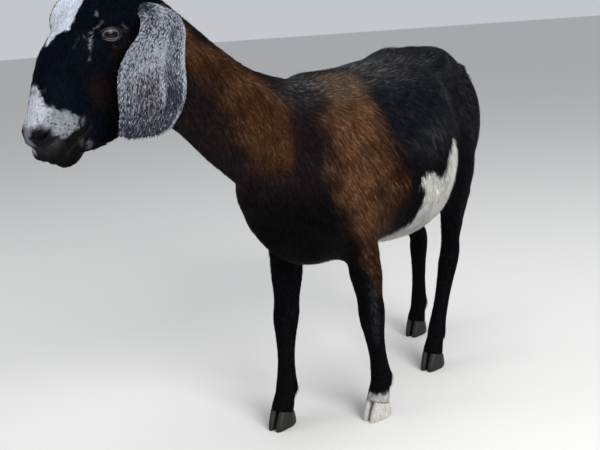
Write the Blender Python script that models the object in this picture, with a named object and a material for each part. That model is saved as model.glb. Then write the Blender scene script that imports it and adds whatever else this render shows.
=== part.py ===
# A young Nubian doe goat standing, life size, in metres.
# It faces -Y, its left side is +X and up is +Z. All four feet stand on z = 0.
# The flesh is one skin round lofted masses. Thin slabs part it into the pieces of the body, with a
# gap between neighbours, and the ears, eyes, claws and dewclaws sit in sockets of their own shape.
import math

import bmesh
import bpy
import numpy as np
from mathutils import Matrix, Vector
from mathutils.bvhtree import BVHTree

# Gap between neighbouring pieces
jointGap = 0.0003

# Fineness of the skin before it is parted, and the triangles that it keeps
trunkVoxel = 0.012
skinVoxel = 0.0045
skinTriangles = 5800

# The head hangs from its poll, nose down by this angle
headPose = {
    "poll": (0.0, -0.465, 0.878),
    "noseDown": 48.0,
}

# Trunk from brisket to pins: y, height of the widest level, half width, height above, depth below,
# squareness above and below
trunkStations = [
    (-0.187, 0.506, 0.012, 0.028, 0.028, 2.0, 2.0),
    (-0.177, 0.504, 0.040, 0.064, 0.036, 2.0, 2.0),
    (-0.149, 0.500, 0.072, 0.114, 0.056, 2.0, 2.0),
    (-0.100, 0.490, 0.096, 0.199, 0.111, 2.0, 2.1),
    (-0.040, 0.480, 0.111, 0.219, 0.145, 1.9, 2.1),
    (0.020, 0.480, 0.119, 0.219, 0.144, 1.8, 2.1),
    (0.090, 0.478, 0.130, 0.218, 0.136, 1.9, 2.1),
    (0.170, 0.476, 0.145, 0.218, 0.150, 2.0, 2.1),
    (0.250, 0.480, 0.150, 0.218, 0.161, 2.0, 2.1),
    (0.320, 0.490, 0.140, 0.233, 0.153, 2.1, 2.1),
    (0.380, 0.505, 0.120, 0.236, 0.138, 2.2, 2.0),
    (0.430, 0.530, 0.104, 0.210, 0.130, 2.3, 2.0),
    (0.490, 0.555, 0.090, 0.173, 0.110, 2.2, 2.0),
    (0.540, 0.570, 0.075, 0.142, 0.090, 2.1, 2.0),
    (0.572, 0.580, 0.052, 0.096, 0.065, 2.0, 2.0),
    (0.584, 0.585, 0.025, 0.044, 0.030, 2.0, 2.0),
]

# Neck from behind the skull to inside the chest: y, z, half width, crest side, throat side
neckStations = [
    (-0.478, 0.805, 0.036, 0.040, 0.062),
    (-0.430, 0.785, 0.045, 0.078, 0.096),
    (-0.365, 0.748, 0.048, 0.079, 0.092),
    (-0.295, 0.704, 0.052, 0.073, 0.088),
    (-0.215, 0.655, 0.062, 0.071, 0.104),
    (-0.130, 0.605, 0.074, 0.105, 0.116),
    (-0.045, 0.555, 0.084, 0.114, 0.120),
    (0.030, 0.520, 0.066, 0.095, 0.100),
]

# Head from lips to nape in its own frame, with the poll at the origin and the nose toward -Y:
# y, height of the widest level, half width, height above, depth below, squareness above and below
headStations = [
    (-0.259, -0.066, 0.006, 0.010, 0.010, 2.0, 2.0),
    (-0.254, -0.064, 0.017, 0.023, 0.024, 2.1, 2.2),
    (-0.243, -0.060, 0.025, 0.032, 0.038, 2.2, 2.3),
    (-0.228, -0.060, 0.029, 0.040, 0.055, 2.1, 2.3),
    (-0.203, -0.060, 0.031, 0.049, 0.076, 2.0, 2.5),
    (-0.175, -0.058, 0.035, 0.056, 0.096, 2.0, 2.7),
    (-0.145, -0.055, 0.041, 0.060, 0.110, 2.0, 2.8),
    (-0.115, -0.052, 0.047, 0.056, 0.117, 2.0, 2.7),
    (-0.085, -0.050, 0.050, 0.054, 0.117, 2.1, 2.5),
    (-0.050, -0.048, 0.050, 0.051, 0.108, 2.1, 2.2),
    (-0.015, -0.047, 0.045, 0.044, 0.078, 2.0, 2.0),
    (0.012, -0.047, 0.034, 0.032, 0.055, 2.0, 2.0),
    (0.028, -0.047, 0.018, 0.017, 0.028, 2.0, 2.0),
]

# Features of the face, on the left side, in the head's frame
eyeCentre = (0.0405, -0.0865, -0.0420)
eyeRadius = 0.0165
eyeAxis = (0.93, -0.28, 0.18)
eyeOpening = (0.0140, 0.0088)
nostril = {"height": -0.0415, "aim": 42.0, "slit": (0.0, 0.90, -0.42), "radii": (0.0105, 0.0034, 0.0070)}
mouth = {"front": -0.0835, "corner": -0.0930, "reach": 140.0, "axis": -0.2320, "radius": 0.0016}

# Left ear from its root to its tip: x, y, z, half width, bulge outward, half thickness
earStations = [
    (0.042, -0.440, 0.804, 0.020, 0.005, 0.0070),
    (0.056, -0.437, 0.809, 0.023, 0.007, 0.0055),
    (0.071, -0.427, 0.802, 0.028, 0.009, 0.0035),
    (0.082, -0.431, 0.783, 0.0335, 0.010, 0.0024),
    (0.088, -0.450, 0.760, 0.0400, 0.010, 0.0020),
    (0.091, -0.465, 0.735, 0.0465, 0.010, 0.0019),
    (0.093, -0.471, 0.705, 0.0490, 0.010, 0.0019),
    (0.094, -0.478, 0.680, 0.0455, 0.008, 0.0019),
    (0.093, -0.486, 0.665, 0.0410, 0.006, 0.0018),
    (0.092, -0.491, 0.655, 0.0340, 0.003, 0.0016),
    (0.092, -0.493, 0.650, 0.0220, 0.001, 0.0012),
]
earTurn = 20.0

# Joints of the four legs at rest: the right fore foot and the left hind foot are a step ahead
legs = {
    "fore_left": {"side": 1, "shoulder": (0.070, -0.105, 0.470), "elbow": (0.082, 0.010, 0.400),
                  "knee": (0.080, 0.047, 0.226), "fetlock": (0.080, 0.068, 0.080), "toe": (0.077, 0.043, 0.0)},
    "fore_right": {"side": -1, "shoulder": (-0.070, -0.105, 0.470), "elbow": (-0.080, -0.005, 0.400),
                   "knee": (-0.074, -0.028, 0.224), "fetlock": (-0.071, -0.050, 0.078),
                   "toe": (-0.069, -0.085, 0.0)},
    "hind_left": {"side": 1, "hip": (0.066, 0.450, 0.575), "stifle": (0.094, 0.372, 0.440),
                  "hock": (0.063, 0.411, 0.245), "fetlock": (0.059, 0.343, 0.082), "toe": (0.058, 0.308, 0.0)},
    "hind_right": {"side": -1, "hip": (-0.066, 0.470, 0.575), "stifle": (-0.094, 0.405, 0.440),
                   "hock": (-0.082, 0.526, 0.240), "fetlock": (-0.080, 0.510, 0.080),
                   "toe": (-0.079, 0.478, 0.0)},
}

# Limb girths: bone, place along it, half width, half depth behind, half depth in front
foreGirths = [
    (0, 0.10, 0.030, 0.050, 0.040), (0, 0.55, 0.038, 0.060, 0.052), (1, 0.00, 0.038, 0.050, 0.054),
    (1, 0.25, 0.034, 0.045, 0.036), (1, 0.60, 0.028, 0.036, 0.026), (1, 0.85, 0.0250, 0.0300, 0.0225),
    (1, 1.00, 0.0265, 0.028, 0.0250), (2, 0.12, 0.0250, 0.025, 0.0270), (2, 0.30, 0.0208, 0.021, 0.0240),
    (2, 0.70, 0.0178, 0.019, 0.0175), (2, 0.92, 0.0205, 0.023, 0.019), (2, 1.00, 0.0215, 0.025, 0.020),
    (3, 0.35, 0.0205, 0.022, 0.019), (3, 0.65, 0.0220, 0.023, 0.021), (3, 1.00, 0.0230, 0.024, 0.024),
    (3, 1.35, 0.0235, 0.024, 0.025),
]
hindGirths = [
    (0, 0.05, 0.038, 0.070, 0.070), (0, 0.55, 0.046, 0.080, 0.075), (1, 0.00, 0.042, 0.090, 0.045),
    (1, 0.25, 0.036, 0.080, 0.024), (1, 0.55, 0.026, 0.057, 0.016), (1, 0.80, 0.0195, 0.034, 0.017),
    (1, 1.00, 0.0215, 0.027, 0.022), (2, 0.12, 0.0210, 0.022, 0.021), (2, 0.32, 0.0178, 0.019, 0.018),
    (2, 0.70, 0.0155, 0.017, 0.015), (2, 0.92, 0.0185, 0.021, 0.017), (2, 1.00, 0.020, 0.024, 0.019),
    (3, 0.35, 0.019, 0.020, 0.018), (3, 0.65, 0.021, 0.022, 0.021), (3, 1.00, 0.0225, 0.024, 0.024),
    (3, 1.35, 0.0235, 0.024, 0.025),
]
coronetPlace = 0.60
coronetSlope = 18.0

# Claws: height up the wall, reach in front of the coronet and behind it, half width
clawRings = [
    (0.0, 0.0360, 0.0215, 0.0108),
    (0.25, 0.0335, 0.0225, 0.0112),
    (0.65, 0.0265, 0.0215, 0.0106),
    (1.0, 0.0195, 0.0200, 0.0098),
]
clawSpread = 0.0122

# Tail from inside the rump to its tip: y, z, half width, thickness above and below
tailStations = [
    (0.532, 0.652, 0.028, 0.018, 0.022),
    (0.570, 0.660, 0.026, 0.015, 0.018),
    (0.598, 0.648, 0.024, 0.013, 0.014),
    (0.615, 0.617, 0.023, 0.011, 0.011),
    (0.619, 0.578, 0.021, 0.010, 0.009),
    (0.617, 0.543, 0.016, 0.008, 0.007),
    (0.614, 0.520, 0.008, 0.005, 0.005),
]

# Hair of the tail
lockCount = 12
lockLength = 0.062
lockWidth = 0.021

# Slabs that part the flesh: centre, direction across the slab, half width and half height
partings = {
    "nape": ((0.0, -0.385, 0.765), (0.0, 0.97, -0.25), 0.080, 0.140),
    "neckBase": ((0.0, -0.150, 0.613), (0.0, 0.86, -0.50), 0.130, 0.180),
    "tailRoot": ((0.0, 0.588, 0.654), (0.0, 0.90, -0.43), 0.036, 0.032),
}
armpitHeight = 0.316
gaskinHeight = 0.335

colours = {
    "coatBlack": (0.016, 0.013, 0.012), "coatRust": (0.095, 0.040, 0.018), "coatGrey": (0.26, 0.26, 0.27),
    "hornDark": (0.045, 0.038, 0.033), "hornPale": (0.42, 0.39, 0.36), "eye": (0.16, 0.13, 0.09),
}


def clearScene():
    for item in list(bpy.data.objects):
        bpy.data.objects.remove(item)


def link(name, mesh):
    item = bpy.data.objects.new(name, mesh)
    bpy.context.scene.collection.objects.link(item)
    return item


def linkMesh(name, bm):
    mesh = bpy.data.meshes.new(name)
    bm.to_mesh(mesh)
    bm.free()
    return link(name, mesh)


def unit(vector):
    vector = np.array(vector, float)
    return vector / np.linalg.norm(vector)


def smoothRun(rows, count):
    """Rows of numbers on a smooth curve through the given ones, spaced by their first three."""
    rows = np.array(rows, float)
    at = np.concatenate([[0.0], np.cumsum(np.linalg.norm(np.diff(rows[:, :3], axis=0), axis=1))])
    slopes = np.gradient(rows, at, axis=0)
    want = np.linspace(0.0, at[-1], count)
    cell = np.clip(np.searchsorted(at, want, side="right") - 1, 0, len(rows) - 2)
    span = (at[cell + 1] - at[cell])[:, None]
    t = (want - at[cell])[:, None] / span
    return (
        (2 * t**3 - 3 * t**2 + 1) * rows[cell]
        + (t**3 - 2 * t**2 + t) * span * slopes[cell]
        + (3 * t**2 - 2 * t**3) * rows[cell + 1]
        + (t**3 - t**2) * span * slopes[cell + 1]
    )


def tube(name, rings):
    """A closed body through rings of points, with flat ends."""
    bm = bmesh.new()
    rings = [[bm.verts.new(p) for p in ring] for ring in rings]
    sides = len(rings[0])
    for a, b in zip(rings, rings[1:]):
        for i in range(sides):
            j = (i + 1) % sides
            bm.faces.new((a[i], a[j], b[j]))
            bm.faces.new((a[i], b[j], b[i]))
    bm.faces.new(rings[0])
    bm.faces.new(rings[-1])
    bmesh.ops.recalc_face_normals(bm, faces=bm.faces)
    if bm.calc_volume(signed=True) < 0:
        bmesh.ops.reverse_faces(bm, faces=bm.faces)
    return linkMesh(name, bm)


def loft(name, stations, count, sides):
    """A body through rings. A station is x, y, z, half width, half depth on the back or upper side
    and on the other side, and the squareness of each half, where 2 is an ellipse."""
    rows = smoothRun(stations, count)
    tangents = np.gradient(rows[:, :3], axis=0)
    angles = np.linspace(0.0, 2 * math.pi, sides, endpoint=False)
    across, along = np.cos(angles), np.sin(angles)
    rings = []
    for row, tangent in zip(rows, tangents):
        tangent = unit(tangent)
        lateral = unit(np.array([1.0, 0.0, 0.0]) - tangent[0] * tangent)
        over = np.cross(lateral, tangent)
        power = np.where(along > 0, 2 / row[6], 2 / row[7])
        depth = np.where(along > 0, row[4], row[5])
        x = row[3] * np.sign(across) * np.abs(across) ** power
        y = depth * np.sign(along) * np.abs(along) ** power
        rings.append(row[:3] + np.outer(x, lateral) + np.outer(y, over))
    return tube(name, rings)


def ellipsoid(name, centre, radii, turn=(0.0, 0.0, 0.0), segments=24):
    """A ball of three radii, turned by angles in degrees about X, Y and Z."""
    bm = bmesh.new()
    bmesh.ops.create_uvsphere(bm, u_segments=segments, v_segments=segments // 2, radius=1.0)
    turned = Matrix.Identity(4)
    for angle, axis in zip(turn, "XYZ"):
        turned = Matrix.Rotation(math.radians(angle), 4, axis) @ turned
    bm.transform(Matrix.Translation(centre) @ turned @ Matrix.Diagonal((*radii, 1.0)))
    return linkMesh(name, bm)


def slab(name, centre, across, halfWidth, halfHeight, thickness=jointGap):
    """A thin box whose two large sides face along the given direction."""
    normal = unit(across)
    lateral = unit(np.array([1.0, 0.0, 0.0]) - normal[0] * normal)
    upward = np.cross(lateral, normal)
    bm = bmesh.new()
    bmesh.ops.create_cube(bm, size=1.0)
    for vert in bm.verts:
        x, y, z = vert.co
        offset = 2 * halfWidth * x * lateral + thickness * y * normal + 2 * halfHeight * z * upward
        vert.co = np.array(centre) + offset
    return linkMesh(name, bm)


def headMatrix():
    return Matrix.Translation(headPose["poll"]) @ Matrix.Rotation(math.radians(headPose["noseDown"]), 4, "X")


def mirrored(point, side):
    return (point[0] * side, point[1], point[2])


def trunkPieces():
    pieces = [loft("trunk", [(0.0, *row) for row in trunkStations], 60, 40)]
    pieces.append(loft("neck", [(0.0, *row, 2.0, 2.0) for row in neckStations], 40, 32))
    for side in (-1, 1):
        pieces += [
            ellipsoid("shoulderBlade", (0.070 * side, -0.030, 0.545), (0.040, 0.066, 0.115), (22, 0, 0)),
            ellipsoid("shoulderPoint", (0.054 * side, -0.094, 0.472), (0.034, 0.038, 0.050)),
            ellipsoid("upperArm", (0.076 * side, -0.050, 0.435), (0.036, 0.072, 0.055), (-25, 0, 0)),
            ellipsoid("hipBone", (0.057 * side, 0.385, 0.685), (0.030, 0.054, 0.030)),
            ellipsoid("thigh", (0.058 * side, 0.477, 0.535), (0.048, 0.086, 0.120), (-10, 0, 0)),
            ellipsoid("pinBone", (0.035 * side, 0.560, 0.624), (0.026, 0.027, 0.032)),
        ]
    return pieces


def legJoints(leg):
    """The five joints of a leg from the body down, the last at the coronet."""
    names = ("shoulder", "elbow", "knee") if "shoulder" in leg else ("hip", "stifle", "hock")
    joints = [Vector(leg[name]) for name in (*names, "fetlock")]
    return joints + [joints[3].lerp(Vector(leg["toe"]), coronetPlace)]


def legPieces(highest, lowest):
    """Every leg as one loft between the given places along its bones, and the points of the hocks."""
    pieces = []
    for name, leg in legs.items():
        joints = legJoints(leg)
        rows = []
        for bone, t, lateral, back, front in foreGirths if "shoulder" in leg else hindGirths:
            if highest <= bone + t <= lowest:
                rows.append((*joints[bone].lerp(joints[bone + 1], t), lateral, back, front, 2.0, 2.0))
        pieces.append(loft(name, rows, 20 * len(rows) // 4, 24))
        if "hock" in leg:
            point = joints[2] + Vector((0.0, 0.019, 0.014))
            pieces.append(ellipsoid("hockPoint", point, (0.0105, 0.0125, 0.024), (-12, 0, 0)))
    return pieces


def headPieces():
    pieces = [loft("skull", [(0.0, *row) for row in headStations], 60, 40)]
    for side in (-1, 1):
        pieces += [
            ellipsoid("orbit", mirrored(eyeCentre, side), (0.0196, 0.0232, 0.0202)),
            ellipsoid("cheek", (0.032 * side, -0.095, -0.102), (0.020, 0.046, 0.048)),
            ellipsoid("nostrilWing", (0.0155 * side, -0.238, -0.044), (0.0120, 0.015, 0.0145)),
            ellipsoid("upperLip", (0.013 * side, -0.241, -0.075), (0.0165, 0.0240, 0.0155)),
            ellipsoid("lowerLip", (0.009 * side, -0.240, -0.0935), (0.0150, 0.0245, 0.0130)),
            ellipsoid("temple", (0.040 * side, -0.062, -0.046), (0.016, 0.036, 0.026)),
            ellipsoid("earRoot", (0.042 * side, -0.036, -0.060), (0.021, 0.030, 0.027)),
        ]
    pieces.append(ellipsoid("chin", (0.0, -0.224, -0.1005), (0.0205, 0.029, 0.0165)))
    place = headMatrix()
    for piece in pieces:
        piece.data.transform(place)
    return pieces


def fused(name, pieces, voxel, passes):
    """One closed skin round all the pieces, with the creases between them smoothed."""
    bm = bmesh.new()
    for piece in pieces:
        bm.from_mesh(piece.data)
        bpy.data.objects.remove(piece)
    item = linkMesh(name, bm)
    remesh = item.modifiers.new("fuse", "REMESH")
    remesh.mode = "VOXEL"
    remesh.voxel_size = voxel
    smooth = item.modifiers.new("soften", "SMOOTH")
    smooth.factor = 0.5
    smooth.iterations = passes
    return applied(item)


def applied(item):
    graph = bpy.context.evaluated_depsgraph_get()
    mesh = bpy.data.meshes.new_from_object(item.evaluated_get(graph))
    item.modifiers.clear()
    item.data = mesh
    return item


def thinned(item, triangles):
    """Fewer triangles on the skin, with the head and the feet kept finer than the trunk."""
    group = item.vertex_groups.new(name="coarse")
    for vert in item.data.vertices:
        x, y, z = vert.co
        weight = 0.990 if y < -0.40 or y > 0.60 else 0.987 if z < 0.30 else 1.0
        group.add([vert.index], weight, "REPLACE")
    decimate = item.modifiers.new("thin", "DECIMATE")
    decimate.vertex_group = "coarse"
    decimate.vertex_group_factor = 1.0
    decimate.ratio = triangles / (2 * len(item.data.polygons))
    decimate.use_collapse_triangulate = True
    return applied(item)


def combined(item, others, operation, solver="EXACT"):
    """The item after one Boolean with all the others, which are used up."""
    group = bpy.data.collections.new("operands")
    bpy.context.scene.collection.children.link(group)
    for other in others:
        group.objects.link(other)
    boolean = item.modifiers.new("combine", "BOOLEAN")
    boolean.operation = operation
    boolean.solver = solver
    boolean.operand_type = "COLLECTION"
    boolean.collection = group
    applied(item)
    for other in others:
        bpy.data.objects.remove(other)
    bpy.data.collections.remove(group)
    return item


def ear(name, side, grow=0.0):
    """A drooping ear as a blade bent round its length. Growing it gives the cutter of its socket."""
    count = 19
    rows = smoothRun(earStations, count)
    tangents = np.gradient(rows[:, :3], axis=0)
    turn = math.radians(earTurn)
    breadth = np.array([math.sin(turn), math.cos(turn), 0.0])
    places = np.cos(np.linspace(0.0, math.pi, 8))
    rings = []
    for i, (row, tangent) in enumerate(zip(rows, tangents)):
        tangent = unit(tangent)
        outward = unit(np.cross(tangent, breadth))
        centre = row[:3] + tangent * grow * ((i == count - 1) - (i == 0))
        ring = []
        for face in (1, -1):
            for s in places * face:
                wide = s * (row[3] + grow)
                lift = row[4] * (1 - s * s) + face * (row[5] * math.sqrt(1 - 0.9 * s * s) + grow)
                ring.append(centre + wide * breadth + lift * outward)
        rings.append(np.array(ring) * (side, 1, 1))
    return tube(name, rings)


def eyeFrame(side):
    """The place of an eye, with its own Z out of the head and its own X along the opening."""
    outward = Vector(mirrored(eyeAxis, side)).normalized()
    level = headMatrix().to_3x3().inverted() @ Vector((0.0, 1.0, 0.0))
    along = (level - level.dot(outward) * outward).normalized()
    upward = outward.cross(along)
    turned = Matrix((along, upward, outward)).transposed().to_4x4()
    return headMatrix() @ Matrix.Translation(mirrored(eyeCentre, side)) @ turned


def faceCutters(skin):
    """Sockets and openings of the eyes, nostrils and the line of the mouth."""
    cutters = []
    place = headMatrix()
    tree = BVHTree.FromPolygons([v.co for v in skin.data.vertices], [p.vertices for p in skin.data.polygons])
    for side in (-1, 1):
        socket = ellipsoid("socket", (0, 0, 0), (eyeRadius + jointGap,) * 3, (0, 0, 0), 18)
        opening = ellipsoid("opening", (0, 0, 0.0190), (*eyeOpening, 0.0125), (0, 0, 0), 16)
        for cutter in (socket, opening):
            cutter.data.transform(eyeFrame(side))
        cutters += [socket, opening]
        aim = math.radians(nostril["aim"])
        toward = place.to_3x3() @ Vector((side * math.sin(aim), -math.cos(aim), 0.0))
        start = place @ Vector((0.0, mouth["axis"], nostril["height"]))
        hit, normal = tree.ray_cast(start, toward)[:2]
        slit = place.to_3x3() @ Vector(nostril["slit"])
        along = (slit - slit.dot(normal) * normal).normalized()
        turned = Matrix((along, normal.cross(along), normal)).transposed().to_4x4()
        hole = ellipsoid("nostril", (0, 0, 0), nostril["radii"], (0, 0, 0), 16)
        hole.data.transform(Matrix.Translation(hit) @ turned)
        cutters.append(hole)
    cutters.append(mouthCutter(tree))
    return cutters


def mouthCutter(tree):
    """A round bar laid along the line where the lips meet."""
    place = headMatrix()
    centre = []
    for angle in np.linspace(-mouth["reach"], mouth["reach"], 21):
        turn = math.radians(angle)
        share = abs(angle) / mouth["reach"]
        z = mouth["front"] + (mouth["corner"] - mouth["front"]) * share**2
        start = place @ Vector((0.0, mouth["axis"], z))
        toward = place.to_3x3() @ Vector((math.sin(turn), -math.cos(turn), 0.0))
        hit = tree.ray_cast(start, toward)[0]
        centre.append(np.array(hit))
    return bar("mouthLine", centre, mouth["radius"])


def bar(name, centre, radius, sides=6):
    """A round bar through points, thinner at both ends."""
    centre = np.array(centre)
    tangents = np.gradient(centre, axis=0)
    rings = []
    for i, (point, tangent) in enumerate(zip(centre, tangents)):
        tangent = unit(tangent)
        side = unit(np.cross(tangent, (0.3, 0.2, 0.93)))
        upward = np.cross(side, tangent)
        size = radius * (0.4 if i in (0, len(centre) - 1) else 1.0)
        angles = np.linspace(0.0, 2 * math.pi, sides, endpoint=False)
        rings.append(point + size * (np.outer(np.cos(angles), side) + np.outer(np.sin(angles), upward)))
    return tube(name, rings)


def footFrame(leg):
    """The place of a foot: origin under its coronet, Y backward along the foot and Z up."""
    joints = legJoints(leg)
    toe = Vector(leg["toe"])
    back = joints[4] - toe
    back.z = 0.0
    back.normalize()
    right = back.cross(Vector((0, 0, 1)))
    turned = Matrix((right, back, Vector((0, 0, 1)))).transposed().to_4x4()
    origin = Vector((joints[4].x, joints[4].y, 0.0))
    return Matrix.Translation(origin) @ turned, joints[4].z


def claw(name, leg, hand):
    """One claw with a flat sole at z = 0 and a flat top just under the plane that ends the pastern."""
    place, height = footFrame(leg)
    slope = math.tan(math.radians(coronetSlope))
    sides = 16
    angles = np.linspace(0.0, 2 * math.pi, sides, endpoint=False)
    rings = []
    for share, front, back, half in clawRings:
        ring = []
        for angle in angles:
            c, s = math.cos(angle), math.sin(angle)
            x = half * math.copysign(abs(c) ** 0.75, c) * (1.0 if c > 0 else 0.93)
            y = back * s if s > 0 else front * math.copysign(abs(s) ** 1.25, s)
            x -= 0.004 * max(0.0, -s) * (front / 0.036)
            top = height - jointGap - slope * y
            ring.append(place @ Vector((hand * (x + clawSpread), y, share * top)))
        rings.append([tuple(p) for p in ring])
    return tube(name, rings)


def dewclaw(name, leg, hand, grow=0.0):
    """A small spur behind the fetlock. Growing it gives the cutter of its socket."""
    joints = legJoints(leg)
    place, height = footFrame(leg)
    turned = place.to_3x3()
    centre = joints[3].lerp(joints[4], 0.28) + turned @ Vector((hand * 0.0105, 0.0200, -0.002))
    item = ellipsoid(name, (0, 0, 0), (0.0062 + grow, 0.0068 + grow, 0.0088 + grow), (24, 0, 0), 8)
    item.data.transform(Matrix.Translation(centre) @ turned.to_4x4())
    return item


def legCutters():
    """Slabs across the limbs, and a wedge that ends each pastern in the plane of the coronet."""
    cutters = []
    for name, leg in legs.items():
        joints = legJoints(leg)
        height = armpitHeight if "shoulder" in leg else gaskinHeight
        share = (joints[1].z - height) / (joints[1].z - joints[2].z)
        free = joints[1].lerp(joints[2], share)
        cutters.append(slab(name + "Top", free, (0, 0, 1), 0.055, 0.080))
        for i, size in ((2, 0.045), (3, 0.045)):
            across = (joints[i - 1] - joints[i]).normalized() + (joints[i] - joints[i + 1]).normalized()
            cutters.append(slab(name + str(i), joints[i], (0.0, across.y, across.z), size, size))
        place, height = footFrame(leg)
        normal = place.to_3x3() @ Vector((0.0, math.sin(math.radians(coronetSlope)), 1.0))
        under = Vector((joints[4].x, joints[4].y, height)) - Vector(unit(normal)) * 0.02
        cutters.append(slab(name + "Foot", under, normal, 0.045, 0.045, 0.04))
    return cutters


def tailNode(core):
    """The tail with its hair as flat tapered locks that overlap round the core."""
    rows = smoothRun([(0.0, *row) for row in tailStations], 40)
    locks = []
    for k in range(lockCount):
        row = rows[14 + round(18 * k / (lockCount - 1))]
        around = 2.4 * k
        root = row[:3] + (row[3] * 0.55 * math.cos(around), 0.003 * math.sin(around), 0.0)
        length = lockLength * (1.0 + 0.12 * math.sin(5.0 * k))
        rings = []
        for t, wide in ((0.0, 0.6), (0.35, 1.0), (0.7, 0.8), (1.0, 0.25)):
            centre = root + (0.009 * math.cos(around) * t, (0.004 + 0.006 * math.sin(around)) * t, -length * t)
            half = lockWidth / 2 * wide
            thick = lockWidth / 5 * wide
            shape = ((1, 0), (0.4, 1), (-0.4, 1), (-1, 0), (-0.4, -1), (0.4, -1))
            rings.append([centre + (half * a, thick * b, 0.0) for a, b in shape])
        locks.append(tube("lock", rings))
    combined(core, locks, "UNION", "MANIFOLD")
    return largest(core)


def islands(item):
    """The separate closed surfaces of a mesh, each as a list of its faces."""
    bm = bmesh.new()
    bm.from_mesh(item.data)
    bm.faces.ensure_lookup_table()
    found = []
    seen = set()
    for face in bm.faces:
        if face.index in seen:
            continue
        seen.add(face.index)
        group = [face]
        for near in group:
            for edge in near.edges:
                for other in edge.link_faces:
                    if other.index not in seen:
                        seen.add(other.index)
                        group.append(other)
        found.append(group)
    return bm, found


def surface(name, faces):
    """A new object from some faces of a mesh."""
    bm = bmesh.new()
    made = {}
    for face in faces:
        for vert in face.verts:
            if vert.index not in made:
                made[vert.index] = bm.verts.new(vert.co)
        bm.faces.new([made[vert.index] for vert in face.verts])
    bmesh.ops.triangulate(bm, faces=bm.faces)
    bmesh.ops.dissolve_degenerate(bm, dist=1e-6, edges=bm.edges)
    bmesh.ops.triangulate(bm, faces=bm.faces)
    return linkMesh(name, bm)


def largest(item):
    bm, groups = islands(item)
    name = item.name
    kept = surface("kept", max(groups, key=len))
    bm.free()
    bpy.data.objects.remove(item)
    kept.name = name
    return kept


def labels():
    """Where the middle of each piece of the flesh lies."""
    found = {
        "head": Vector((0.0, -0.52, 0.74)), "neck": Vector((0.0, -0.28, 0.68)),
        "torso": Vector((0.0, 0.20, 0.52)), "tail": Vector((0.0, 0.618, 0.60)),
    }
    for name, leg in legs.items():
        joints = legJoints(leg)
        top = armpitHeight if "shoulder" in leg else gaskinHeight
        upper = joints[2].copy()
        upper.z = (top + joints[2].z) / 2
        found["forearm" + name[4:] if "shoulder" in leg else "gaskin" + name[4:]] = upper
        found["cannon_" + name] = (joints[2] + joints[3]) / 2
        found["pastern_" + name] = (joints[3] + joints[4]) / 2
    return found


def parted(flesh):
    """The pieces of the cut flesh by name."""
    bm, groups = islands(flesh)
    wanted = labels()
    pieces = {}
    for group in groups:
        if len(group) < 60:
            continue
        points = np.array([vert.co for face in group for vert in face.verts])
        middle = Vector((points.min(axis=0) + points.max(axis=0)) / 2)
        name = min(wanted, key=lambda n: (wanted[n] - middle).length)
        pieces[name] = surface(name, group)
    bm.free()
    bpy.data.objects.remove(flesh)
    return pieces


def paint(item, colour, roughness):
    material = bpy.data.materials.new(item.name)
    material.use_nodes = True
    shader = material.node_tree.nodes["Principled BSDF"]
    shader.inputs["Base Color"].default_value = (*colours[colour], 1.0)
    shader.inputs["Roughness"].default_value = roughness
    shader.inputs["Metallic"].default_value = 0.0
    item.data.materials.clear()
    item.data.materials.append(material)


def shadeSmooth(item, angle):
    """Smooth shading, with a crease wherever two faces meet at more than the angle."""
    item.data.polygons.foreach_set("use_smooth", [True] * len(item.data.polygons))
    bm = bmesh.new()
    bm.from_mesh(item.data)
    for edge in bm.edges:
        edge.smooth = len(edge.link_faces) != 2 or edge.calc_face_angle(0.0) < math.radians(angle)
    bm.to_mesh(item.data)
    bm.free()


def settle(items):
    """Move everything so that the origin is under the middle of the whole."""
    points = np.array([vert.co for item in items for vert in item.data.vertices])
    low, high = points.min(axis=0), points.max(axis=0)
    shift = Vector((-(low[0] + high[0]) / 2, -(low[1] + high[1]) / 2, 0.0))
    for item in items:
        item.data.transform(Matrix.Translation(shift))
    print("moved by", tuple(round(v, 5) for v in shift))


def main():
    clearScene()
    trunk = fused("trunkMass", trunkPieces() + legPieces(0.0, 1.6), trunkVoxel, 12)
    tail = loft("tail", [(0.0, *row, 2.0, 2.0) for row in tailStations], 30, 16)
    flesh = fused("flesh", [trunk, tail] + legPieces(1.2, 5.0) + headPieces(), skinVoxel, 4)
    thinned(flesh, skinTriangles)
    cutters = [slab(name, *size) for name, size in partings.items()]
    cutters += faceCutters(flesh) + legCutters()
    for side in (-1, 1):
        cutters.append(ear("earSocket", side, jointGap))
    for leg in legs.values():
        for hand in (-1, 1):
            cutters.append(dewclaw("dewclawSocket", leg, hand, jointGap))
    combined(flesh, cutters, "DIFFERENCE", "MANIFOLD")
    pieces = parted(flesh)
    pieces["tail"] = tailNode(pieces["tail"])
    look = {name: ("coatBlack", 0.75) for name in pieces}
    look["neck"] = look["torso"] = ("coatRust", 0.75)
    for side, word in ((1, "left"), (-1, "right")):
        name = "ear_" + word
        pieces[name] = ear(name, side)
        look[name] = ("coatGrey", 0.8)
        name = "eye_" + word
        pieces[name] = ellipsoid(name, (0, 0, 0), (eyeRadius,) * 3, (0, 0, 0), 18)
        pieces[name].data.transform(eyeFrame(side))
        look[name] = ("eye", 0.12)
    for word, leg in legs.items():
        for hand, place in ((1, "outer"), (-1, "inner")):
            name = f"claw_{word}_{place}"
            pieces[name] = claw(name, leg, hand * leg["side"])
            look[name] = ("hornPale" if word == "fore_left" else "hornDark", 0.5)
            name = f"dewclaw_{word}_{place}"
            pieces[name] = dewclaw(name, leg, hand * leg["side"])
            look[name] = ("hornDark", 0.5)
    for name, item in pieces.items():
        paint(item, *look[name])
        shadeSmooth(item, 50.0 if "claw" in name else 70.0)
    settle(pieces.values())


main()
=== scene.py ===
# Looks of a young Nubian doe goat standing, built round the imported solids.
# Shapes are made in the drawing's own frame: the goat faces -Y, its left side is +X, Z is up.
import math
from contextlib import contextmanager

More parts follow.
